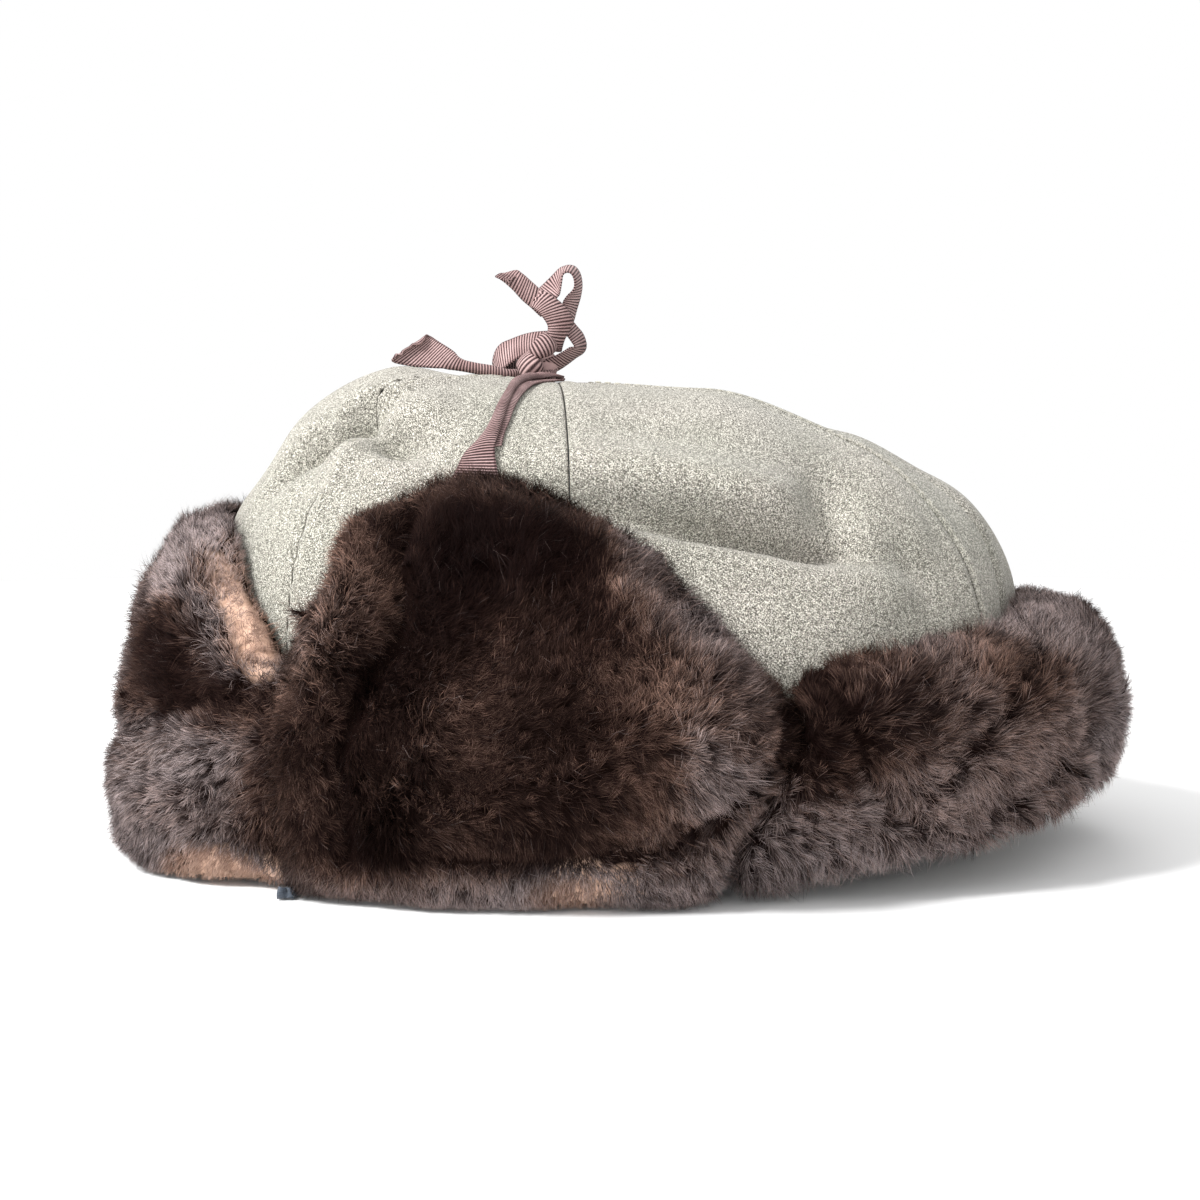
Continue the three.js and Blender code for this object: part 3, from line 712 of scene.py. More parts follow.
# %% The creases and rolls of the fur
# A line of (bearing in degrees, z in mm), how wide and how deep; depth below 0 stands out.
# The right side mirrors the left.
fur_creases = [
    # the ear flap: behind its front strip, the strip itself, and above its hem
    {"wide": 3.0, "deep": 9.0, "line": [(60.5, 90), (61, 85), (63.5, 75), (64, 66), (61, 58), (58.5, 50)]},
    {"wide": 2.4, "deep": 6.5, "line": [(58.5, 50), (58, 43), (57, 37), (56.5, 30), (57.5, 21), (57.5, 14)]},
    {"wide": 5.0, "deep": -4.0, "line": [(55, 92), (57, 80), (59, 69), (56, 60)]},
    {"wide": 2.2, "deep": 3.2, "line": [(59, 16), (72, 15), (84, 15.5), (96, 17)]},
    {"wide": 7.0, "deep": -1.2, "line": [(66, 30), (80, 28), (92, 30)]},
    # its lobe and the neck flap
    {"wide": 2.8, "deep": 4.5, "line": [(98, 20), (104, 28), (108, 36), (110, 46)]},
    {"wide": 6.0, "deep": -2.2, "line": [(100, 36), (104, 46), (103, 56)]},
    {"wide": 2.8, "deep": 4.5, "line": [(119, 55), (119, 42), (121, 31), (128, 18)]},
    {"wide": 2.6, "deep": 4.0, "line": [(131, 33), (137, 42), (142, 50), (149, 56)]},
    {"wide": 2.4, "deep": 2.6, "line": [(136, 20), (143, 27), (152, 34), (162, 36)]},
    {"wide": 6.0, "deep": -1.8, "line": [(125, 50), (129, 40), (134, 28)]},
    # the visor: across its bulge, and the groove before its back edge
    {"wide": 3.0, "deep": 3.2, "line": [(14, 31), (22, 36), (31, 42), (39, 48)]},
    {"wide": 2.6, "deep": 2.6, "line": [(14, 68), (20, 63), (27, 60)]},
    {"wide": 6.0, "deep": -1.6, "line": [(18, 24), (30, 22), (38, 20)]},
]
crease_radius = 115.0


def bearings(points):
    """The direction of each point seen from above, 0 at the front and 90 at the wearer's left."""
    return np.degrees(np.arctan2(-points[:, 1], -points[:, 0]))


def pressed(points):
    """How deep the creases press the fur in at each point, in mm."""
    flat = np.stack([np.radians(np.abs(bearings(points))) * crease_radius, points[:, 2]], 1)
    total = np.zeros(len(points))
    for crease in fur_creases:
        line = np.array(crease["line"], float)
        line[:, 0] = np.radians(line[:, 0]) * crease_radius
        away = np.full(len(points), 1e6)
        for start, end in zip(line, line[1:]):
            step = end - start
            share = np.clip((flat - start) @ step / (step @ step), 0, 1)
            away = np.minimum(away, ((flat - start - share[:, None] * step) ** 2).sum(1))
        total += crease["deep"] * np.exp(-away / crease["wide"] ** 2)
    return total


# %% A hide from a flap's solid
hide_cube = 2.2
hide_inset = 1.0
hide_inset_share = 0.12
hide_smoothing = 17
thinnest_lock = 4.5  # mm; what is thinner is a lock's tip, which is smoothed away
lock_smoothing = 25


def calmed(normals, ends, passes=8):
    """Normals of the pelt as a whole, without its bumps. ends: the two points of each edge."""
    for _ in range(passes):
        calm = normals * 2
        np.add.at(calm, ends[:, 0], normals[ends[:, 1]])
        np.add.at(calm, ends[:, 1], normals[ends[:, 0]])
        normals = unit(calm)
    return normals


def keep_largest(shape):
    """Deletes the crumbs that the thinnest locks leave, so one closed skin stays."""
    left = set(shape.verts)
    groups = []
    while left:
        edge, group = [left.pop()], []
        while edge:
            vert = edge.pop()
            group.append(vert)
            for link in vert.link_edges:
                other = link.other_vert(vert)
                if other in left:
                    left.discard(other)
                    edge.append(other)
        groups.append(group)
    groups.sort(key=len)
    crumbs = [vert for group in groups[:-1] for vert in group]
    bmesh.ops.delete(shape, geom=crumbs, context="VERTS")
    return len(groups) - 1


def thicknesses(shape):
    """How thick the solid is under each point, in mm."""
    shape.normal_update()
    solid = BVHTree.FromBMesh(shape)
    found = []
    for vert in shape.verts:
        hit = solid.ray_cast(vert.co - vert.normal * 0.3 * mm, -vert.normal)
        found.append(hit[3] / mm if hit[0] else 0.0)
    return found


def hide_mesh(node):
    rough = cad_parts[node].data.copy()
    shape = bmesh.new()
    shape.from_mesh(rough)
    bmesh.ops.remove_doubles(shape, verts=shape.verts, dist=0.001 * mm)
    shape.to_mesh(rough)
    shape.free()
    block = bpy.data.objects.new("block", rough)
    bpy.context.scene.collection.objects.link(block)
    cubes = block.modifiers.new("cubes", "REMESH")
    cubes.mode = "VOXEL"
    cubes.voxel_size = hide_cube * mm
    made = bpy.data.meshes.new_from_object(block.evaluated_get(bpy.context.evaluated_depsgraph_get()))
    bpy.data.objects.remove(block)
    shape = bmesh.new()
    shape.from_mesh(made)
    print(node, "crumbs taken away:", keep_largest(shape))
    smooth = {"factor": 0.5, "use_axis_x": True, "use_axis_y": True, "use_axis_z": True}
    for _ in range(hide_smoothing):
        bmesh.ops.smooth_vert(shape, verts=shape.verts, **smooth)
    thin = [v for v, depth in zip(shape.verts, thicknesses(shape)) if depth < thinnest_lock]
    for _ in range(lock_smoothing):
        bmesh.ops.smooth_vert(shape, verts=thin, **smooth)
    insets = [min(hide_inset, hide_inset_share * depth) for depth in thicknesses(shape)]
    points = np.array([v.co for v in shape.verts]) / mm
    shape.verts.index_update()
    ends = np.array([[v.index for v in edge.verts] for edge in shape.edges])
    normals = calmed(np.array([v.normal for v in shape.verts]), ends)
    outer = smooth_step(np.einsum("ij,ij->i", normals[:, :2], unit(points[:, :2])), 0.05, 0.4)
    ruffled = 0.9 * waves(points, 12) + 0.5 * waves(points, 7)
    insets = np.array(insets) + outer * (pressed(points) + ruffled)
    points -= normals * insets[:, None]
    points[:, 2] = np.maximum(points[:, 2], 0.15)
    for vert, point in zip(shape.verts, points):
        vert.co = Vector(point * mm)
    for _ in range(4):
        bmesh.ops.smooth_vert(shape, verts=shape.verts, **smooth)
    return shape


# %% The hide's finish
# x, y, z and radius in mm of the bare places, where the tan skin shows through
bare_spots = [(-98, -81, 2, 9), (-88, -86, 2, 8), (-9, -109, 6, 8), (2, -108, 5, 7), (-94, 82, 2, 9)]
# The pelt is also worn along the visor's back edge, in one streak on each side.
streak_start = np.array([-106, 53, 87])
streak_end = np.array([-88, 74, 55])
streak_radius = 5.5


def fur_hide():
    hide = Finish("fur_hide", Roughness=0.9)
    hide.surface.inputs["Specular IOR Level"].default_value = 0.0
    place = hide.place()
    mottled = hide.noise(5, detail=3.0)
    underfur = hide.ramp(mottled, (0.3, (0.003, 0.0014, 0.0012)), (0.7, (0.010, 0.0055, 0.0045)))
    skin = hide.ramp(mottled, (0.3, (0.44, 0.27, 0.19)), (0.7, (0.70, 0.48, 0.37)))
    x, y, z = [hide.node("ShaderNodeSeparateXYZ", sockets={0: place}, output=i) for i in range(3)]
    bare = 0.0
    for spot_x, spot_y, spot_z, radius in bare_spots:
        away = [(axis - at * mm) / (radius * mm) for axis, at in ((x, spot_x), (y, spot_y), (z, spot_z))]
        square_away = away[0] * away[0] + away[1] * away[1] + away[2] * away[2]
        bare = (2.4 - square_away * 2.0).held() + bare
    run = streak_end - streak_start
    places = zip((x, y.sum("ABSOLUTE", y), z), (streak_start * mm).tolist())
    from_start = [axis - at for axis, at in places]
    pace = (run / (run @ run) / mm).tolist()
    share = sum(away * step for away, step in zip(from_start, pace)).held()
    from_streak = [away - share * step for away, step in zip(from_start, (run * mm).tolist())]
    square_away = sum(away * away for away in from_streak) / (streak_radius * mm) ** 2
    bare = (1.3 - square_away * 1.3).held() + bare
    hide.show(Base_Color=hide.mix((bare + (mottled - 0.5) * 1.2 * bare).held(), underfur, skin))
    hide.show(Normal=hide.bump(mottled, 0.8, 0.8))
    return hide


hide_finish = fur_hide()
flaps = {
    "front_flap": {"hairs": 138000},
    "left_ear_flap": {"hairs": 158000},
    "neck_flap": {"hairs": 143000},
    "right_ear_flap": {"hairs": 90000},
}
for flap_name, flap in flaps.items():
    flap["hide"] = add_piece(flap_name + "_hide", hide_mesh(flap_name), hide_finish, [flap_name])
    print(flap["hide"].name, len(flap["hide"].data.polygons), "faces")

# %% [markdown]
# ## The fur's hair
# The hair lies as it was combed by years of wear. A table of strokes says so: at a place given by
# its bearing and height, the hair leans to one side and up or down, is this long, leans this
# much, gathers into clumps or stays smooth, and has this hue and lightness. Between the
# strokes every value is a weighted mean, and the right side mirrors the left.

# %% The strokes of the comb
# bearing, z, side, up, length mm, lean, clump, hue, light
strokes = np.array([
    # the visor; its pale grey lilac rows are partly painted sheen on the tips
    (0, 84, -0.5, 1.0, 11, 0.50, 0.4, 0.36, 0.65),
    (0, 50, -0.8, 0.4, 11, 0.50, 0.5, 0.28, 0.50),
    (0, 15, -0.6, -0.8, 12, 0.60, 0.5, 0.46, 0.65),
    (11, 84, -0.5, 1.0, 10, 0.55, 0.4, 0.46, 0.66),
    (20, 84, -0.3, 1.0, 9, 0.55, 0.3, 0.50, 0.80),
    (12, 64, -0.9, 0.5, 10, 0.50, 0.4, 0.40, 0.46),
    (22, 72, -0.7, 0.7, 9, 0.50, 0.6, 0.49, 0.86),
    (13, 46, -1.0, 0.0, 10, 0.55, 0.4, 0.46, 0.60),
    (12, 20, -0.9, -0.6, 11, 0.62, 0.5, 0.49, 0.90),
    (21, 58, -0.8, 0.4, 8, 0.45, 0.5, 0.14, 0.28),
    (21, 46, -0.9, 0.0, 8, 0.45, 0.6, 0.22, 0.30),
    (27, 84, 0.1, 1.0, 6, 0.62, 0.2, 0.60, 0.88),
    (31, 75, 0.2, 1.0, 6, 0.62, 0.2, 0.72, 0.84),
    (35, 66, 0.3, 0.8, 6, 0.62, 0.2, 0.76, 0.80),
    (39, 57, 0.3, 0.7, 6, 0.60, 0.2, 0.76, 0.74),
    (44, 46, 0.1, 0.7, 9, 0.50, 0.3, 0.20, 0.28),
    (28, 62, -0.6, 0.5, 8, 0.45, 0.3, 0.11, 0.22),
    (32, 50, -0.7, 0.2, 8, 0.45, 0.4, 0.12, 0.24),
    (38, 44, -0.7, 0.2, 9, 0.45, 0.4, 0.20, 0.32),
    (19, 34, -1.0, -0.2, 10, 0.55, 0.6, 0.49, 0.78),
    (27, 33, -0.9, -0.2, 10, 0.52, 0.7, 0.51, 0.96),
    (37, 34, -0.8, -0.2, 10, 0.52, 0.7, 0.52, 1.00),
    (33, 22, -0.8, -0.5, 10, 0.55, 0.5, 0.40, 0.70),
    (39, 24, -0.7, -0.5, 10, 0.55, 0.5, 0.46, 0.80),
    (44, 28, -0.4, -0.5, 9, 0.50, 0.4, 0.22, 0.34),
    (22, 14, -0.8, -0.8, 11, 0.62, 0.4, 0.48, 0.88),
    (30, 10, -0.5, -1.0, 10, 0.60, 0.4, 0.46, 0.80),
    (36, 3, -0.2, -0.8, 4, 0.60, 0.2, 0.84, 0.92),
    (42, 3, -0.1, -0.8, 4, 0.60, 0.2, 0.90, 0.98),
    (46, 10, 0.2, -0.8, 9, 0.60, 0.3, 0.25, 0.35),
    # the ear flap's front strip: its left part is combed out over the cloth
    (50, 92, -1.0, 0.7, 11, 0.70, 0.4, 0.30, 0.68),
    (54, 91, -0.9, 0.8, 12, 0.70, 0.4, 0.30, 0.56),
    (53, 82, -1.0, 0.5, 12, 0.70, 0.5, 0.28, 0.54),
    (50, 74, -1.0, 0.3, 12, 0.72, 0.4, 0.32, 0.68),
    (52, 64, -1.0, 0.2, 12, 0.70, 0.5, 0.40, 0.62),
    (49, 54, -1.0, 0.2, 12, 0.70, 0.4, 0.38, 0.60),
    (51, 44, -1.0, -0.1, 11, 0.65, 0.5, 0.30, 0.42),
    (50, 26, -0.8, -0.5, 11, 0.60, 0.5, 0.28, 0.42),
    (52, 6, -0.4, -1.0, 12, 0.70, 0.5, 0.40, 0.50),
    # and its right part over the crease behind it
    (59, 90, 0.5, 1.0, 10, 0.55, 0.4, 0.26, 0.44),
    (59, 82, 1.0, 0.3, 9, 0.55, 0.5, 0.26, 0.44),
    (60, 72, 1.0, 0.0, 9, 0.55, 0.5, 0.30, 0.50),
    (59, 64, 1.0, -0.3, 9, 0.55, 0.5, 0.32, 0.54),
    (56, 54, 0.9, -0.5, 9, 0.55, 0.5, 0.32, 0.48),
    (55, 40, 0.8, -0.3, 9, 0.55, 0.5, 0.26, 0.38),
    (54, 26, 0.6, -0.6, 10, 0.55, 0.5, 0.30, 0.46),
    # the crease itself: its hair is painted dark, as painted shade in the crease
    (64, 86, 0.4, 1.0, 8, 0.45, 0.2, 0.10, 0.16),
    (66, 70, 0.6, 0.7, 8, 0.45, 0.2, 0.10, 0.14),
    (62, 54, 0.7, 0.5, 8, 0.45, 0.2, 0.10, 0.16),
    (59, 40, 0.8, 0.2, 8, 0.45, 0.3, 0.12, 0.20),
    (58.5, 18, 0.6, -0.5, 9, 0.50, 0.4, 0.16, 0.25),
    # its smooth dark middle, combed up at the tip and round to the back lower down
    (70, 104, -0.1, 1.0, 10, 0.60, 0.3, 0.32, 0.60),
    (60, 99, -0.6, 1.0, 11, 0.65, 0.3, 0.30, 0.66),
    (82, 102, 0.4, 1.0, 10, 0.60, 0.3, 0.28, 0.48),
    (70, 84, 0.3, 1.0, 9, 0.50, 0.25, 0.10, 0.18),
    (80, 84, 0.4, 1.0, 9, 0.50, 0.25, 0.11, 0.21),
    (70, 66, 0.6, 0.8, 9, 0.50, 0.30, 0.16, 0.31),
    (77, 62, 0.7, 0.7, 9, 0.50, 0.30, 0.18, 0.38),
    (85, 64, 0.8, 0.6, 9, 0.50, 0.35, 0.14, 0.33),
    (67, 48, 0.8, 0.4, 9, 0.52, 0.35, 0.24, 0.42),
    (75, 46, 1.0, 0.2, 9, 0.52, 0.40, 0.22, 0.40),
    (84, 42, 1.0, 0.1, 9, 0.52, 0.40, 0.18, 0.37),
    (66, 31, 0.9, -0.1, 9, 0.52, 0.50, 0.22, 0.40),
    (78, 30, 1.0, -0.2, 9, 0.52, 0.55, 0.18, 0.36),
    (66, 19, 0.7, -0.5, 10, 0.52, 0.65, 0.26, 0.45),
    (76, 18, 0.8, -0.5, 10, 0.52, 0.70, 0.24, 0.42),
    (86, 20, 0.8, -0.5, 10, 0.52, 0.65, 0.22, 0.40),
    (62, 5, 0.2, -1.0, 9, 0.68, 0.35, 0.42, 0.80),
    (71, 5, 0.3, -1.0, 9, 0.68, 0.35, 0.45, 0.90),
    (79, 4, 0.3, -1.0, 8, 0.68, 0.35, 0.52, 0.88),
    (84, 4, 0.2, -1.0, 5, 0.65, 0.20, 0.76, 0.92),
    (90, 4, 0.3, -1.0, 8, 0.68, 0.35, 0.48, 0.84),
    (97, 4, 0.4, -1.0, 10, 0.68, 0.45, 0.43, 0.80),
    # its back edge and lobe
    (90, 94, 0.7, 1.0, 10, 0.60, 0.35, 0.34, 0.58),
    (96, 88, 0.9, 0.8, 10, 0.60, 0.35, 0.44, 0.66),
    (96, 72, 1.0, 0.6, 10, 0.58, 0.45, 0.38, 0.68),
    (102, 66, 1.0, 0.6, 11, 0.62, 0.50, 0.46, 0.70),
    (92, 54, 0.9, 0.4, 9, 0.50, 0.45, 0.26, 0.44),
    (100, 52, 1.0, 0.3, 10, 0.55, 0.60, 0.34, 0.54),
    (108, 54, 1.0, 0.4, 11, 0.60, 0.60, 0.44, 0.62),
    (91, 34, 0.9, -0.2, 10, 0.52, 0.65, 0.26, 0.42),
    (101, 34, 0.7, -0.7, 14, 0.58, 0.90, 0.48, 0.66),
    (106, 42, 1.0, -0.1, 11, 0.58, 0.75, 0.34, 0.42),
    (96, 19, 0.6, -0.9, 11, 0.58, 0.80, 0.34, 0.48),
    (103, 12, 0.4, -1.0, 12, 0.64, 0.65, 0.46, 0.70),
    # the neck flap
    (112, 60, 0.3, 1.0, 9, 0.52, 0.50, 0.34, 0.48),
    (114, 48, 0.6, 0.5, 8, 0.48, 0.55, 0.22, 0.32),
    (117, 34, 0.7, -0.2, 9, 0.48, 0.65, 0.26, 0.38),
    (124, 60, 0.3, 1.0, 10, 0.56, 0.50, 0.32, 0.48),
    (134, 64, 0.4, 1.0, 11, 0.56, 0.50, 0.40, 0.60),
    (126, 46, 0.9, 0.1, 12, 0.56, 0.65, 0.32, 0.50),
    (134, 44, 1.0, -0.1, 12, 0.56, 0.70, 0.38, 0.64),
    (112, 22, 0.5, -0.6, 11, 0.52, 0.80, 0.42, 0.84),
    (120, 24, 0.6, -0.5, 11, 0.52, 0.80, 0.46, 0.88),
    (128, 26, 0.7, -0.7, 12, 0.58, 0.65, 0.40, 0.84),
    (112, 8, 0.2, -1.0, 12, 0.64, 0.60, 0.49, 0.98),
    (127, 8, 0.3, -1.0, 12, 0.64, 0.60, 0.48, 0.98),
    (152, 66, 0.5, 1.0, 12, 0.58, 0.45, 0.44, 0.86),
    (142, 52, 0.9, 0.4, 11, 0.56, 0.55, 0.30, 0.56),
    (148, 38, 1.0, -0.1, 12, 0.58, 0.60, 0.42, 0.86),
    (142, 20, 0.7, -0.7, 12, 0.60, 0.60, 0.42, 0.80),
    (160, 52, 1.0, 0.3, 12, 0.58, 0.55, 0.44, 0.92),
    (160, 28, 0.9, -0.4, 12, 0.60, 0.60, 0.46, 0.90),
    (170, 66, 0.6, 1.0, 12, 0.58, 0.50, 0.44, 0.84),
    (180, 44, 0.8, 0.1, 12, 0.58, 0.55, 0.40, 0.74),
    (180, 20, 0.6, -0.9, 12, 0.62, 0.60, 0.44, 0.72),
])
stroke_reach = (5.0, 7.0)  # degrees and mm over which one stroke is felt


def combed(points):
    """The comb's direction and the strokes' other values at each point, in mm."""
    bearing = bearings(points)
    side_of_hat = np.where(bearing < 0, -1.0, 1.0)
    far = ((np.abs(bearing)[:, None] - strokes[:, 0]) / stroke_reach[0]) ** 2
    far += ((points[:, 2:3] - strokes[:, 1]) / stroke_reach[1]) ** 2
    far -= far.min(1, keepdims=True)
    weights = np.exp(-far)
    values = weights @ strokes[:, 2:] / weights.sum(1, keepdims=True)
    angle = np.radians(bearing)
    around = np.stack([np.sin(angle), -np.cos(angle), 0 * angle], 1) * side_of_hat[:, None]
    heading = around * values[:, 0:1] + np.array([0, 0, 1.0]) * values[:, 1:2]
    return heading, values[:, 2:]


# %% The roots of the hair
def hair_roots(hide, count):
    """Evenly spread points on the hide, with their normals, where hair grows. Lengths in mm."""
    mesh = hide.data
    mesh.calc_loop_triangles()
    corners = np.empty(len(mesh.loop_triangles) * 3, np.int32)
    mesh.loop_triangles.foreach_get("vertices", corners)
    places = np.empty(len(mesh.vertices) * 3)
    mesh.vertices.foreach_get("co", places)
    places = places.reshape(-1, 3) / mm
    normals = np.empty(len(mesh.vertices) * 3)
    mesh.vertex_normals.foreach_get("vector", normals)
    normals = normals.reshape(-1, 3)
    ends = np.empty(len(mesh.edges) * 2, np.int32)
    mesh.edges.foreach_get("vertices", ends)
    normals = calmed(normals, ends.reshape(-1, 2))
    a, b, c = [places[corners[i::3]] for i in range(3)]
    cross = np.cross(b - a, c - a)
    area = np.linalg.norm(cross, axis=1)
    facing = unit(cross)
    outwards = unit(((a + b + c) / 3 * np.array([1 / rim_half_length**2, 1 / rim_half_width**2, 0])))
    open_side = smooth_step(np.einsum("ij,ij->i", facing, outwards), -0.35, 0.1)
    open_side = np.maximum(open_side, smooth_step(facing[:, 2], 0.25, 0.6))
    under = smooth_step(-facing[:, 2], 0.6, 0.9)
    weight = area * open_side * (1 - 0.85 * under)
    total = np.cumsum(weight)
    pick = np.searchsorted(total, (np.arange(count) + chance.random(count)) / count * total[-1])
    pick = np.minimum(pick, len(area) - 1)
    s, t = np.sqrt(chance.random(count)), chance.random(count)
    shares = np.stack([1 - s, s * (1 - t), s * t], 1)[:, :, None]
    own = corners.reshape(-1, 3)[pick]
    return (places[own] * shares).sum(1), unit((normals[own] * shares).sum(1))


# %% [markdown]
# A pelt has two coats. Its down is short and thick, and one pointed triangle is enough for such a
# hair. The guard hair is longer and thinner, and bends, so it takes three triangles. Each tip is
# drawn towards the tip at the middle of its clump, so hairs gather into tufts with dark gaps
# between. The colour comes from a map that works as a palette: across it lies the hue and up it
# the way from root to tip, so one material serves hundreds of thousands of hairs.

# %% Growing the hair of one flap
coats = {
    # down: short soft hair that fills the pelt; guard: longer thin hair over it
    "down": {"share": 0.9, "length": 0.54, "width": 0.25, "per_clump": 18, "stray": 0.0, "rise": 0.0},
    "guard": {"share": 0.1, "length": 0.70, "width": 0.13, "per_clump": 5, "stray": 0.05, "rise": 0.06},
}
proud = 2.6  # mm that most tips may stand out of the flap's solid
shortest_hair, longest_hair = 2.2, 18  # mm
root_depth = 0.6  # mm from the hide's face down to a hair's foot
clump_reach = 6  # mm; a hair further from its clump's middle stays out of the clump
palette_width = 0.004


def turned(vectors, axes, angle):
    """Vectors at right angles to their axes, turned about them."""
    return vectors * np.cos(angle)[:, None] + np.cross(axes, vectors) * np.sin(angle)[:, None]


def clump_of(roots, per_clump):
    """For each root, the number of the root at the middle of its clump."""
    middles = np.sort(chance.choice(len(roots), max(1, len(roots) // per_clump), replace=False))
    tree = KDTree(len(middles))
    for i, middle in enumerate(middles):
        tree.insert(roots[middle], i)
    tree.balance()
    return np.array([middles[tree.find(root)[1]] for root in roots])


def reach_out_of(solid, points):
    """How far each point lies outside a closed solid, in mm, and below 0 inside it."""
    out = np.empty(len(points))
    for i, point in enumerate(points):
        near, normal, _, distance = solid.find_nearest(Vector(point * mm))
        side = (Vector(point * mm) - near).dot(normal)
        out[i] = math.copysign(distance, side) / mm
    return out


def grow_coat(solid, hide, count, coat):
    """The root, bend and tip of every hair, its width, hue and light, and how it catches the light."""
    roots, normals = hair_roots(hide, count)
    heading, values = combed(roots)
    length, lean, clump, hue, light = values.T
    crease = np.clip(pressed(roots) / 5, -0.5, 1)
    along = heading - normals * np.einsum("ij,ij->i", heading, normals)[:, None]
    parting = 1 - np.clip(np.linalg.norm(along, axis=1) / 0.8, 0, 1)
    along = unit(along + 1e-4)
    middle = clump_of(roots, coat["per_clump"])
    clump_turn = chance.normal(size=count)[middle]
    ruffle = 0.45 * waves(roots, 26) + (0.25 + 0.45 * clump) * waves(roots, 9)
    ruffle += (0.25 + 0.4 * clump) * clump_turn + 0.42 * chance.normal(size=count)
    # where two strokes meet the hair is tousled, which hides the skin between them
    ruffle += 1.6 * parting * clump_turn + 0.8 * parting * chance.normal(size=count)
    along = turned(along, normals, ruffle)
    tufts = waves(roots, 11)
    lean = lean + 0.12 * tufts - coat["rise"] + 0.09 * chance.normal(size=count)
    lean = np.clip(lean, 0.1, 0.92)
    length = length * coat["length"] * (1 + 0.12 * chance.normal(size=count) + 0.12 * waves(roots, 7))
    length *= 1 - 0.68 * np.maximum(crease, 0)
    stray = chance.random(count) < coat["stray"]
    length = np.clip(length, shortest_hair, longest_hair)[:, None]

    first = unit(normals * (1 - lean)[:, None] + along * lean[:, None])
    second = unit(normals * (0.75 - lean)[:, None] + along * (lean + 0.25)[:, None]
                  + np.array([0, 0, -0.12]))
    bend = roots + first * length * 0.5
    tip = bend + second * length * 0.5
    near = np.linalg.norm(roots - roots[middle], axis=1) < clump_reach
    pull = (np.where(stray, 0.1, 0.22 + 0.5 * clump) * near)[:, None]
    tip = tip + (tip[middle] + 0.15 * (tip - tip[middle]) - tip) * pull
    bend = bend + ((roots + tip) / 2 + first * length * 0.08 - bend) * pull

    over = reach_out_of(solid, tip) - proud - np.abs(chance.normal(size=count)) * 1.2
    keep = np.clip(1 - np.maximum(over, 0) / length[:, 0], 0.35, 1)
    keep = np.where(stray, np.maximum(keep, 0.75), keep)[:, None]
    bend, tip = roots + (bend - roots) * keep, roots + (tip - roots) * keep
    feet = roots - normals * root_depth
    for points in (feet, bend, tip):
        points[:, 2] = np.maximum(points[:, 2], 0.25 + 0.5 * chance.random(count))

    run = unit(tip - feet)
    across = unit(np.cross(run, normals))
    across = turned(across, run, 0.45 * chance.normal(size=count))
    facing = np.cross(across, run)
    across *= np.where(np.einsum("ij,ij->i", facing, normals) < 0, -1.0, 1.0)[:, None]
    half = 0.5 * coat["width"] * np.where(stray, 0.5, 1.0) * (0.75 + 0.5 * chance.random(count))
    bulging = roots - roots[middle]
    shade = unit(normals * 0.85 + along * 0.25 + bulging * 0.16 * near[:, None]
                 + 0.24 * chance.normal(size=(count, 3)))

    light = light * (1 + 0.18 * waves(roots, 30) + 0.22 * tufts + 0.30 * clump_turn * (0.4 + clump))
    # Hair in the creases is made darker: painted shade, where the creases lie in shadow.
    light = light * (1 + 0.34 * chance.normal(size=count) - 0.7 * np.maximum(crease, 0))
    # A stray guard hair is made lighter and greyer: a painted glint of light on single hairs.
    light = np.clip(np.where(stray, light + 0.3, light), 0.05, 0.98)
    hue = np.clip(hue + 0.03 * waves(roots, 22) + 0.03 * chance.normal(size=count), 0.03, 0.97)
    hue = np.where(stray, np.maximum(hue, 0.42), hue)
    return {"feet": feet, "bend": bend, "tip": tip, "across": across * half[:, None],
            "shade": shade, "hue": hue, "light": light}


# %% [markdown]
# All the hairs of a flap are one mesh. Its arrays are filled at once, because a loop over a hundred
# thousand hairs would be slow. Each hair is lit as if it faced the way its tuft does: the
# light then runs softly over the fur, as on real down, and doesn't glitter on every blade.

# %% The hairs as one mesh
blade_rows = {
    # for each kind: how far along and how wide its points are, and the triangles between them
    "down": {"points": [("feet", -1), ("feet", 1), ("tip", 0)], "way": [0.02, 0.02, 1.0],
             "faces": [0, 1, 2]},
    "guard": {"points": [("feet", -1), ("feet", 1), ("bend", -0.8), ("bend", 0.8), ("tip", 0)],
              "way": [0.02, 0.02, 0.55, 0.55, 1.0], "faces": [0, 1, 3, 0, 3, 2, 2, 3, 4]},
}


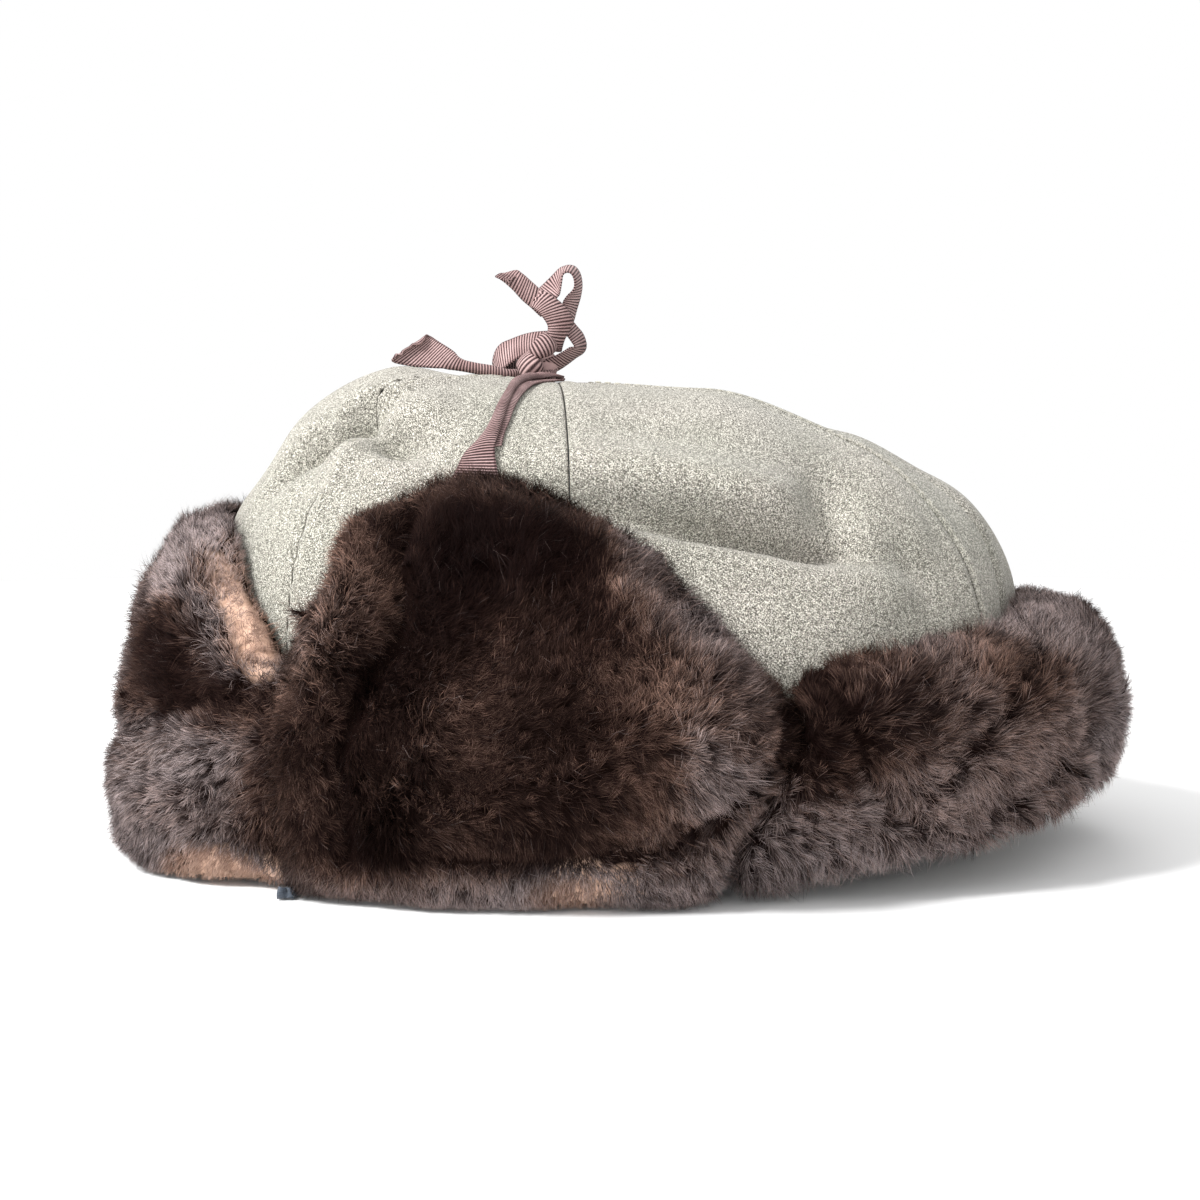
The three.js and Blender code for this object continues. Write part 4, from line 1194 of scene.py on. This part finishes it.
def fur_piece(name, grown, finish):
    points, corners, shades, palette = [], [], [], []
    start = 0
    for kind, hairs in grown.items():
        row = blade_rows[kind]
        count, size = len(hairs["hue"]), len(row["points"])
        places = [hairs[part] + hairs["across"] * side for part, side in row["points"]]
        points.append(np.stack(places, 1).reshape(-1, 3))
        corners.append((start + np.arange(count)[:, None] * size + row["faces"]).ravel())
        shades.append(np.repeat(hairs["shade"], size, axis=0))
        sides = np.sign([side for _, side in row["points"]])
        u = hairs["hue"][:, None] + palette_width * sides
        v = hairs["light"][:, None] * np.array(row["way"])
        palette.append(np.stack([u, v], -1)[:, row["faces"]].reshape(-1, 2))
        start += count * size
    points, corners = np.concatenate(points), np.concatenate(corners)
    mesh = bpy.data.meshes.new(name)
    mesh.vertices.add(len(points))
    mesh.vertices.foreach_set("co", (points * mm).astype(np.float32).ravel())
    mesh.loops.add(len(corners))
    mesh.loops.foreach_set("vertex_index", corners.astype(np.int32))
    mesh.polygons.add(len(corners) // 3)
    mesh.polygons.foreach_set("loop_start", np.arange(0, len(corners), 3, dtype=np.int32))
    mesh.polygons.foreach_set("use_smooth", np.ones(len(corners) // 3, bool))
    colours = mesh.uv_layers.new(name="OFBake")
    colours.data.foreach_set("uv", np.concatenate(palette).astype(np.float32).ravel())
    mesh.update(calc_edges=True)
    mesh.validate()
    mesh.normals_split_custom_set_from_vertices(np.concatenate(shades))
    mesh.materials.append(finish.material)
    fur = bpy.data.objects.new(name, mesh)
    bpy.context.scene.collection.objects.link(fur)
    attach(fur, "root")
    return fur


# %% The hair's finish
def hair_finish():
    hair = Finish("fur_hair", Roughness=0.6)
    hair.surface.inputs["Specular IOR Level"].default_value = 0.02
    hue, way = hair.map("OFBake")
    roots = hair.ramp(
        hue,
        (0.10, (0.0045, 0.0018, 0.0016)),
        (0.30, (0.0095, 0.0045, 0.0038)),
        (0.50, (0.0130, 0.0088, 0.0086)),
        (0.70, (0.1600, 0.0880, 0.0620)),
        (0.90, (0.5200, 0.3400, 0.2600)),
    )
    # The pale grey lilac tips near 0.50 are partly the fur's own greyer tips and partly painted sheen, the
    # light that glances off them.
    tips = hair.ramp(
        hue,
        (0.10, (0.150, 0.074, 0.054)),
        (0.30, (0.500, 0.300, 0.228)),
        (0.50, (0.690, 0.580, 0.575)),
        (0.70, (0.720, 0.480, 0.375)),
        (0.90, (0.860, 0.630, 0.510)),
    )
    hair.show(Base_Color=hair.mix(way ** 2.2, roots, tips))
    return hair


fur_finish = hair_finish()
hair_share = 1.0
for flap_name, flap in flaps.items():
    solid = BVHTree.FromPolygons(
        [v.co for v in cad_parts[flap_name].data.vertices],
        [list(p.vertices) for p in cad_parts[flap_name].data.polygons])
    grown = {}
    for kind, coat in coats.items():
        count = int(flap["hairs"] * coat["share"] * hair_share)
        grown[kind] = grow_coat(solid, flap["hide"], count, coat)
    fur = fur_piece(flap_name + "_hair", grown, fur_finish)
    print(fur.name, len(fur.data.polygons), "faces")

# %% [markdown]
# ## The ribbon
# The ties and the bow are one grosgrain ribbon: thick cross threads give it fine ribs. Flat
# straps are best laid directly along a path. Here a table gives both edges of the ribbon, so it
# can turn, fold and end in a slanted cut, and where the edges come close together the
# ribbon between them is curled into an arc that keeps its full width.

# %% A path through a table's rows
ribbon_width = 10.0
ribbon_thickness = 0.5
rib_pitch = 0.8
rib_height = 0.12
ribbon_columns = 10
rows_per_rib = 4


def through(rows, shares):
    """A smooth curve through rows of numbers, at shares from 0 to 1."""
    rows = np.asarray(rows, float)
    padded = np.vstack([2 * rows[0] - rows[1], rows, 2 * rows[-1] - rows[-2]])
    at = np.clip(shares, 0, 1) * (len(rows) - 1)
    i = np.minimum(at.astype(int), len(rows) - 2)
    t = (at - i)[:, None]
    a, b, c, d = [padded[i + k] for k in range(4)]
    return 0.5 * (2 * b + (c - a) * t + (2 * a - 5 * b + 4 * c - d) * t**2
                  + (3 * b - a - 3 * c + d) * t**3)


def arc_of(chord, length):
    """The radius and half angle of an arc that shows a chord that wide and has that length."""
    angles = np.linspace(1e-3, math.pi / 2, 400)
    share = np.clip(chord / length, 0.2, 0.9999)
    half = np.interp(-share, -np.sin(angles) / angles, angles)
    tight = share < 2 / math.pi
    radius = np.where(tight, chord / 2, chord / (2 * np.sin(half)))
    return radius, np.where(tight, np.minimum(1 / share, 2.5), half)


# %% A strip of ribbon
def ribbon_strip(name, rows, finish, replaced, full=ribbon_width, frayed=()):
    """rows: x, y, z of one edge, x, y, z of the other, and how far it curls, from -1 to 1."""
    fine = through(rows, np.linspace(0, 1, 400))
    middle = (fine[:, :3] + fine[:, 3:6]) / 2
    run = np.concatenate([[0], np.cumsum(np.linalg.norm(np.diff(middle, axis=0), axis=1))])
    steps = int(run[-1] / rib_pitch * rows_per_rib)
    uneven = chance.uniform(-1, 1, size=ribbon_columns + 1)

    def place(u, v):
        shares = np.interp(v * run[-1], run, np.linspace(0, 1, 400))
        read = through(rows, shares)
        centre = (read[:, :3] + read[:, 3:6]) / 2
        later, sooner = through(rows, shares + 0.004), through(rows, shares - 0.004)
        ahead = unit((later[:, :3] + later[:, 3:6] - sooner[:, :3] - sooner[:, 3:6]) / 2)
        chord = np.linalg.norm(read[:, 3:6] - read[:, :3], axis=1)
        sideways = unit(read[:, 3:6] - read[:, :3])
        face = unit(np.cross(sideways, ahead))
        across = 2 * u - 1
        radius, half = arc_of(chord, full)
        curl = np.minimum(1, np.abs(read[:, 6]) * 2)
        flat = radius * np.sin(half * across) * curl + chord / 2 * across * (1 - curl)
        high = radius * (np.cos(half * across) - np.cos(np.minimum(half, math.pi / 2))) * read[:, 6]
        rib = np.abs(np.cos(math.pi * v * run[-1] / rib_pitch)) ** 0.7 - 0.5
        selvedge = smooth_step(np.abs(across), 0.84, 0.97)
        high += rib_height * rib * (1 - 0.3 * selvedge) + 0.10 * selvedge
        points = centre + sideways * flat[:, None] + face * high[:, None]
        column = np.round(u * ribbon_columns).astype(int)
        for end in frayed:
            near = np.clip(1 - (v if end == 0 else 1 - v) * run[-1] / 2.0, 0, 1)
            points += (ahead * 0.6 + face * 0.5) * (near * uneven[column])[:, None]
        return points

    def measure(u, v):
        return (2 * u - 1) * full / 2 * mm, v * run[-1] * mm

    shape = laid_sheet(ribbon_columns, steps, place, measure, "ribbon")
    strip = add_piece(name, shape, finish, replaced)
    thicken(strip, ribbon_thickness)
    strip.modifiers["wall"].offset = 0
    return strip, run[-1]


# %% The ribbon's finish
def grosgrain(name, narrowing):
    """narrowing: how thin the lit top of each rib is, more where the ribbon is pulled tight."""
    ribbon = Finish(name, Roughness=0.6, Sheen_Weight=0.03, Sheen_Roughness=0.35)
    ribbon.surface.inputs["Specular IOR Level"].default_value = 0.08
    aside, along = ribbon.map("ribbon")
    rib = (along * (2 * math.pi / (rib_pitch * mm)) + math.pi / 2).sine() * 0.5 + 0.5
    slow = ribbon.noise(7, detail=2.0)
    fuzz = ribbon.noise(0.45, detail=1.0)
    threads = (aside * (2 * math.pi / (0.4 * mm))).sine() * 0.5 + 0.5
    # The ribs are painted light and shade: their lit tops carry the ribbon's own pink, and the near black
    # valleys between them are painted shade.
    tops = ribbon.ramp(slow, (0.3, (0.320, 0.205, 0.198)), (0.7, (0.520, 0.362, 0.350)))
    share = (rib ** narrowing + (fuzz - 0.5) * 0.4 + threads * 0.06).held()
    # A dark line along both edges is painted shade, where the ribbon turns under and lies on its other
    # layer.
    edge = aside.bell(-4.7 * mm, 0.2 * mm) + aside.bell(4.7 * mm, 0.2 * mm)
    colour = ribbon.mix(share, (0.026, 0.012, 0.013), tops)
    ribbon.show(Base_Color=ribbon.mix(edge * 0.6, colour, (0.045, 0.022, 0.024)))
    ribbon.show(Normal=ribbon.bump(rib + threads * 0.25, 0.12, 0.8))
    return ribbon


ribbon_finish = grosgrain("grosgrain", 1.8)
# The ties' ribs have thinner lit tops, so more of them is painted shade and they look darker.
tight_ribbon_finish = grosgrain("tight_grosgrain", 4.6)

# %% [markdown]
# Each tie is sewn to the tip of an ear flap, lies over the crown and goes up into the knot. On the
# way its left part folds under, and a second layer of the same ribbon shows behind it. The
# table gives the turn and the rise of both edges, and the right tie mirrors the left.

# %% The ties
tie_layers = {
    "tie": {"lift": 1.5, "full": 10.0, "rows": [
        # turn and rise of one edge, then of the other, and the curl
        (68.0, 0.455, 76.0, 0.462, 0.0),
        (68.5, 0.489, 75.2, 0.495, 0.0),
        (69.0, 0.520, 74.2, 0.536, 0.15),
        (70.2, 0.547, 74.0, 0.567, 0.3),
        (71.4, 0.585, 73.9, 0.603, 0.5),
        (71.7, 0.630, 73.8, 0.643, 0.6),
        (71.4, 0.691, 73.4, 0.698, 0.6),
        (70.9, 0.763, 72.9, 0.759, 0.6),
        (69.4, 0.830, 72.4, 0.826, 0.6),
        (68.0, 0.900, 73.5, 0.890, 0.5),
        (66.0, 0.945, 77.0, 0.935, 0.3),
        (60.0, 0.970, 84.0, 0.966, 0.3),
        (48.0, 0.988, 97.0, 0.986, 0.3),
    ]},
    "tie_back": {"lift": 0.6, "full": 4.0, "rows": [
        (71.5, 0.545, 75.0, 0.560, 0.0),
        (72.2, 0.585, 74.9, 0.600, 0.1),
        (72.6, 0.643, 75.1, 0.650, 0.3),
        (72.3, 0.698, 75.0, 0.699, 0.4),
        (72.0, 0.759, 75.2, 0.757, 0.4),
        (71.8, 0.830, 75.8, 0.822, 0.4),
        (72.0, 0.900, 77.5, 0.880, 0.3),
        (71.0, 0.965, 90.0, 0.955, 0.2),
    ]},
}


def tie_rows(rows, lift, sign):
    laid = []
    for turn, rise, other_turn, other_rise, curl in rows:
        edges = [crown_point(sign * turn, rise, lift), crown_point(sign * other_turn, other_rise, lift)]
        laid.append((*edges[0], *edges[1], sign * curl))
    return laid


for side, sign in (("left", 1), ("right", -1)):
    for layer, tie in tie_layers.items():
        rows = tie_rows(tie["rows"], tie["lift"], sign)
        name = f"{side}_{layer}_ribbon"
        strip, length = ribbon_strip(name, rows, tight_ribbon_finish, [side + "_tie"], tie["full"])
        print(strip.name, round(length), "mm long")

# %% [markdown]
# The bow is one knot with loops and loose ends. Each stretch of ribbon is its own strip, from a
# table whose rows follow it. Nearly closed rows, such as in the front end's thin part, curl up.

# %% The bow
bow_strips = {
    "bow_front_end": [
        (-25.5, -3.0, 127.8, -26.0, -2.0, 130.3, 1),
        (-30.1, -6.0, 127.6, -30.1, -6.0, 130.1, 1),
        (-34.7, -7.5, 128.1, -34.7, -7.0, 131.1, 1),
        (-39.3, -8.5, 129.2, -39.4, -7.5, 131.8, 0.9),
        (-43.9, -9.0, 130.0, -42.8, -7.0, 132.8, 0.5),
        (-50.1, -9.5, 130.4, -45.7, -6.0, 135.4, 0.2),
        (-56.3, -9.5, 130.9, -49.5, -5.0, 137.9, 0.1),
        (-61.4, -9.5, 131.9, -51.7, -4.5, 139.4, 0),
        (-62.0, -10.6, 132.7, -52.6, -5.6, 139.9, 0),
        (-61.1, -11.4, 133.1, -52.7, -6.6, 139.1, 0),
    ],
    "bow_standing": [
        (-20.3, -3.0, 136.7, -15.2, -2.0, 135.4, 0.3),
        (-19.1, -5.5, 139.5, -14.3, -4.0, 138.7, 0.5),
        (-18.8, -6.5, 142.1, -12.3, -4.0, 143.0, 0.5),
        (-20.1, -7.0, 144.3, -12.9, -4.0, 146.1, 0.5),
        (-21.5, -7.0, 146.0, -15.7, -4.5, 149.0, 0.4),
        (-22.8, -6.5, 147.1, -19.4, -4.5, 151.7, 0.2),
        (-23.4, -5.6, 147.5, -21.5, -4.2, 152.1, 0),
    ],
    "bow_tall_loop": [
        (-22.2, -1.0, 152.3, -19.1, -4.4, 147.8, 0),
        (-20.4, 1.0, 154.0, -16.0, -5.2, 150.5, 0.1),
        (-17.9, 2.0, 156.5, -15.4, -5.6, 152.0, 0.1),
        (-15.8, 3.0, 158.7, -15.0, -5.4, 154.4, 0.1),
        (-14.3, 4.0, 159.5, -14.7, -4.8, 156.4, 0.1),
        (-12.8, 4.5, 159.8, -13.6, -4.2, 157.2, 0.1),
        (-11.2, 4.5, 159.2, -12.3, -4.0, 156.8, 0.1),
        (-10.0, 4.5, 157.2, -11.5, -3.8, 155.0, 0.1),
        (-9.6, 4.5, 154.3, -11.7, -3.6, 152.7, 0.1),
        (-10.0, 4.0, 151.2, -13.7, -3.8, 150.5, 0.2),
        (-10.9, 3.6, 148.1, -14.7, -3.6, 148.6, 0.2),
        (-11.7, 3.4, 145.2, -13.8, -3.0, 146.3, 0.1),
        (-12.4, 3.0, 142.6, -13.8, -2.0, 142.9, 0),
    ],
    "bow_standing_end": [
        (-20.8, -2.5, 145.0, -19.5, -2.0, 149.8, 0.3),
        (-23.3, -4.2, 147.4, -21.8, -3.4, 152.9, 0.5),
        (-26.0, -4.6, 149.7, -24.1, -3.6, 155.0, 0.6),
        (-28.7, -4.8, 152.6, -26.4, -3.6, 157.0, 0.6),
        (-30.8, -4.6, 154.4, -27.9, -3.4, 157.8, 0.4),
        (-33.0, -4.6, 155.6, -30.9, -3.8, 157.1, 0.1),
        (-33.5, -5.2, 156.0, -32.3, -4.6, 156.8, 0),
        (-32.3, -6.4, 155.3, -30.8, -5.6, 156.4, 0),
        (-30.0, -6.9, 154.3, -27.7, -5.8, 156.4, -0.3),
    ],
    "bow_low_loop": [
        (-20.8, -3.5, 135.6, -19.2, -1.0, 141.1, 0),
        (-23.5, -2.5, 135.1, -23.1, 1.5, 140.8, 0.2),
        (-26.2, -2.5, 134.0, -26.4, 3.0, 140.1, 0.2),
        (-28.8, -2.5, 132.4, -29.5, 4.0, 139.0, 0.2),
        (-31.1, -2.0, 130.7, -32.3, 4.5, 137.8, 0.2),
        (-32.8, -1.0, 130.0, -34.1, 6.0, 135.6, 0),
        (-33.5, 0.0, 129.3, -34.9, 7.6, 132.3, -0.2),
        (-32.5, 1.0, 128.8, -33.5, 8.0, 132.3, -0.3),
        (-29.9, 0.5, 128.5, -30.4, 6.0, 133.3, -0.2),
        (-26.6, -1.0, 128.7, -26.7, 3.0, 132.9, 0),
    ],
    "bow_back_loop": [
        (-13.0, -1.0, 145.1, -15.1, -3.5, 142.2, 0),
        (-11.2, 1.5, 142.8, -13.8, -4.0, 140.1, 0.1),
        (-9.3, 3.5, 140.5, -12.2, -4.0, 137.9, 0.1),
        (-8.4, 4.5, 137.7, -11.5, -3.8, 136.6, 0.1),
        (-9.0, 4.0, 135.6, -12.9, -4.4, 136.3, 0.2),
        (-11.2, 3.0, 134.0, -14.6, -5.0, 135.2, 0.2),
        (-13.9, 1.5, 131.9, -17.1, -5.4, 133.9, 0.3),
        (-15.9, 0.0, 130.5, -19.9, -5.6, 132.8, 0.3),
        (-18.2, -1.0, 129.3, -22.1, -4.6, 130.7, 0.1),
    ],
    "bow_knot_front": [
        (-24.4, 0.0, 136.0, -28.3, 1.5, 132.3, 0),
        (-22.5, -6.4, 134.8, -27.1, -5.6, 130.4, 0.5),
        (-21.4, -8.4, 133.0, -26.0, -7.8, 128.3, 0.6),
        (-20.4, -7.6, 131.0, -23.9, -7.2, 127.6, 0.5),
        (-20.0, -4.0, 129.1, -22.1, -4.0, 127.0, 0.2),
    ],
    "bow_knot_fold": [
        (-16.0, -3.0, 136.7, -19.5, -3.0, 140.7, 0.2),
        (-17.5, -7.2, 134.7, -20.7, -6.4, 139.8, 0.6),
        (-20.1, -8.6, 133.5, -22.5, -7.8, 137.7, 0.6),
        (-22.4, -8.2, 133.5, -23.7, -7.4, 136.4, 0.3),
        (-22.9, -6.2, 134.6, -22.9, -5.4, 137.1, 0),
    ],
    "bow_knot_low": [
        (-17.4, -2.0, 126.5, -16.5, -3.0, 130.7, 0),
        (-19.4, -5.6, 125.5, -19.1, -6.0, 129.8, 0.5),
        (-21.8, -6.4, 125.1, -21.8, -6.8, 129.4, 0.5),
        (-24.5, -6.2, 125.3, -24.3, -6.4, 128.8, 0.4),
        (-26.2, -4.5, 125.7, -26.1, -5.0, 128.6, 0.2),
    ],
}
bow_frayed = {"bow_front_end": (1,), "bow_standing": (1,), "bow_standing_end": (1,), "bow_knot_fold": (1,)}
for name, rows in bow_strips.items():
    frayed = bow_frayed.get(name, ())
    strip, length = ribbon_strip(name, rows, ribbon_finish, ["ribbon_bow"], frayed=frayed)
    print(strip.name, round(length), "mm long")

knot_core = bmesh.new()
bmesh.ops.create_uvsphere(knot_core, u_segments=20, v_segments=12, radius=4.4 * mm)
bmesh.ops.translate(knot_core, verts=knot_core.verts, vec=Vector((-20.4, -1.4, 131.6)) * mm)
knot_core.loops.layers.uv.new("ribbon")
add_piece("bow_knot_core", knot_core, ribbon_finish, ["ribbon_bow"])

# %% [markdown]
# ## Measuring the result
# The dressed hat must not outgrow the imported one. The two boxes are written side by side.

# %% The two boxes
dressed_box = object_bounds()
for dressed_corner, cad_corner in zip(dressed_box, cad_box):
    print([round((d - c) / mm, 1) for d, c in zip(dressed_corner, cad_corner)], "mm from the hat's box")
triangles = {}
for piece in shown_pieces():
    mesh = piece.evaluated_get(bpy.context.evaluated_depsgraph_get()).to_mesh()
    mesh.calc_loop_triangles()
    triangles[piece.name] = len(mesh.loop_triangles)
    piece.to_mesh_clear()
print(sum(triangles.values()), "triangles:", dict(sorted(triangles.items(), key=lambda row: -row[1])))
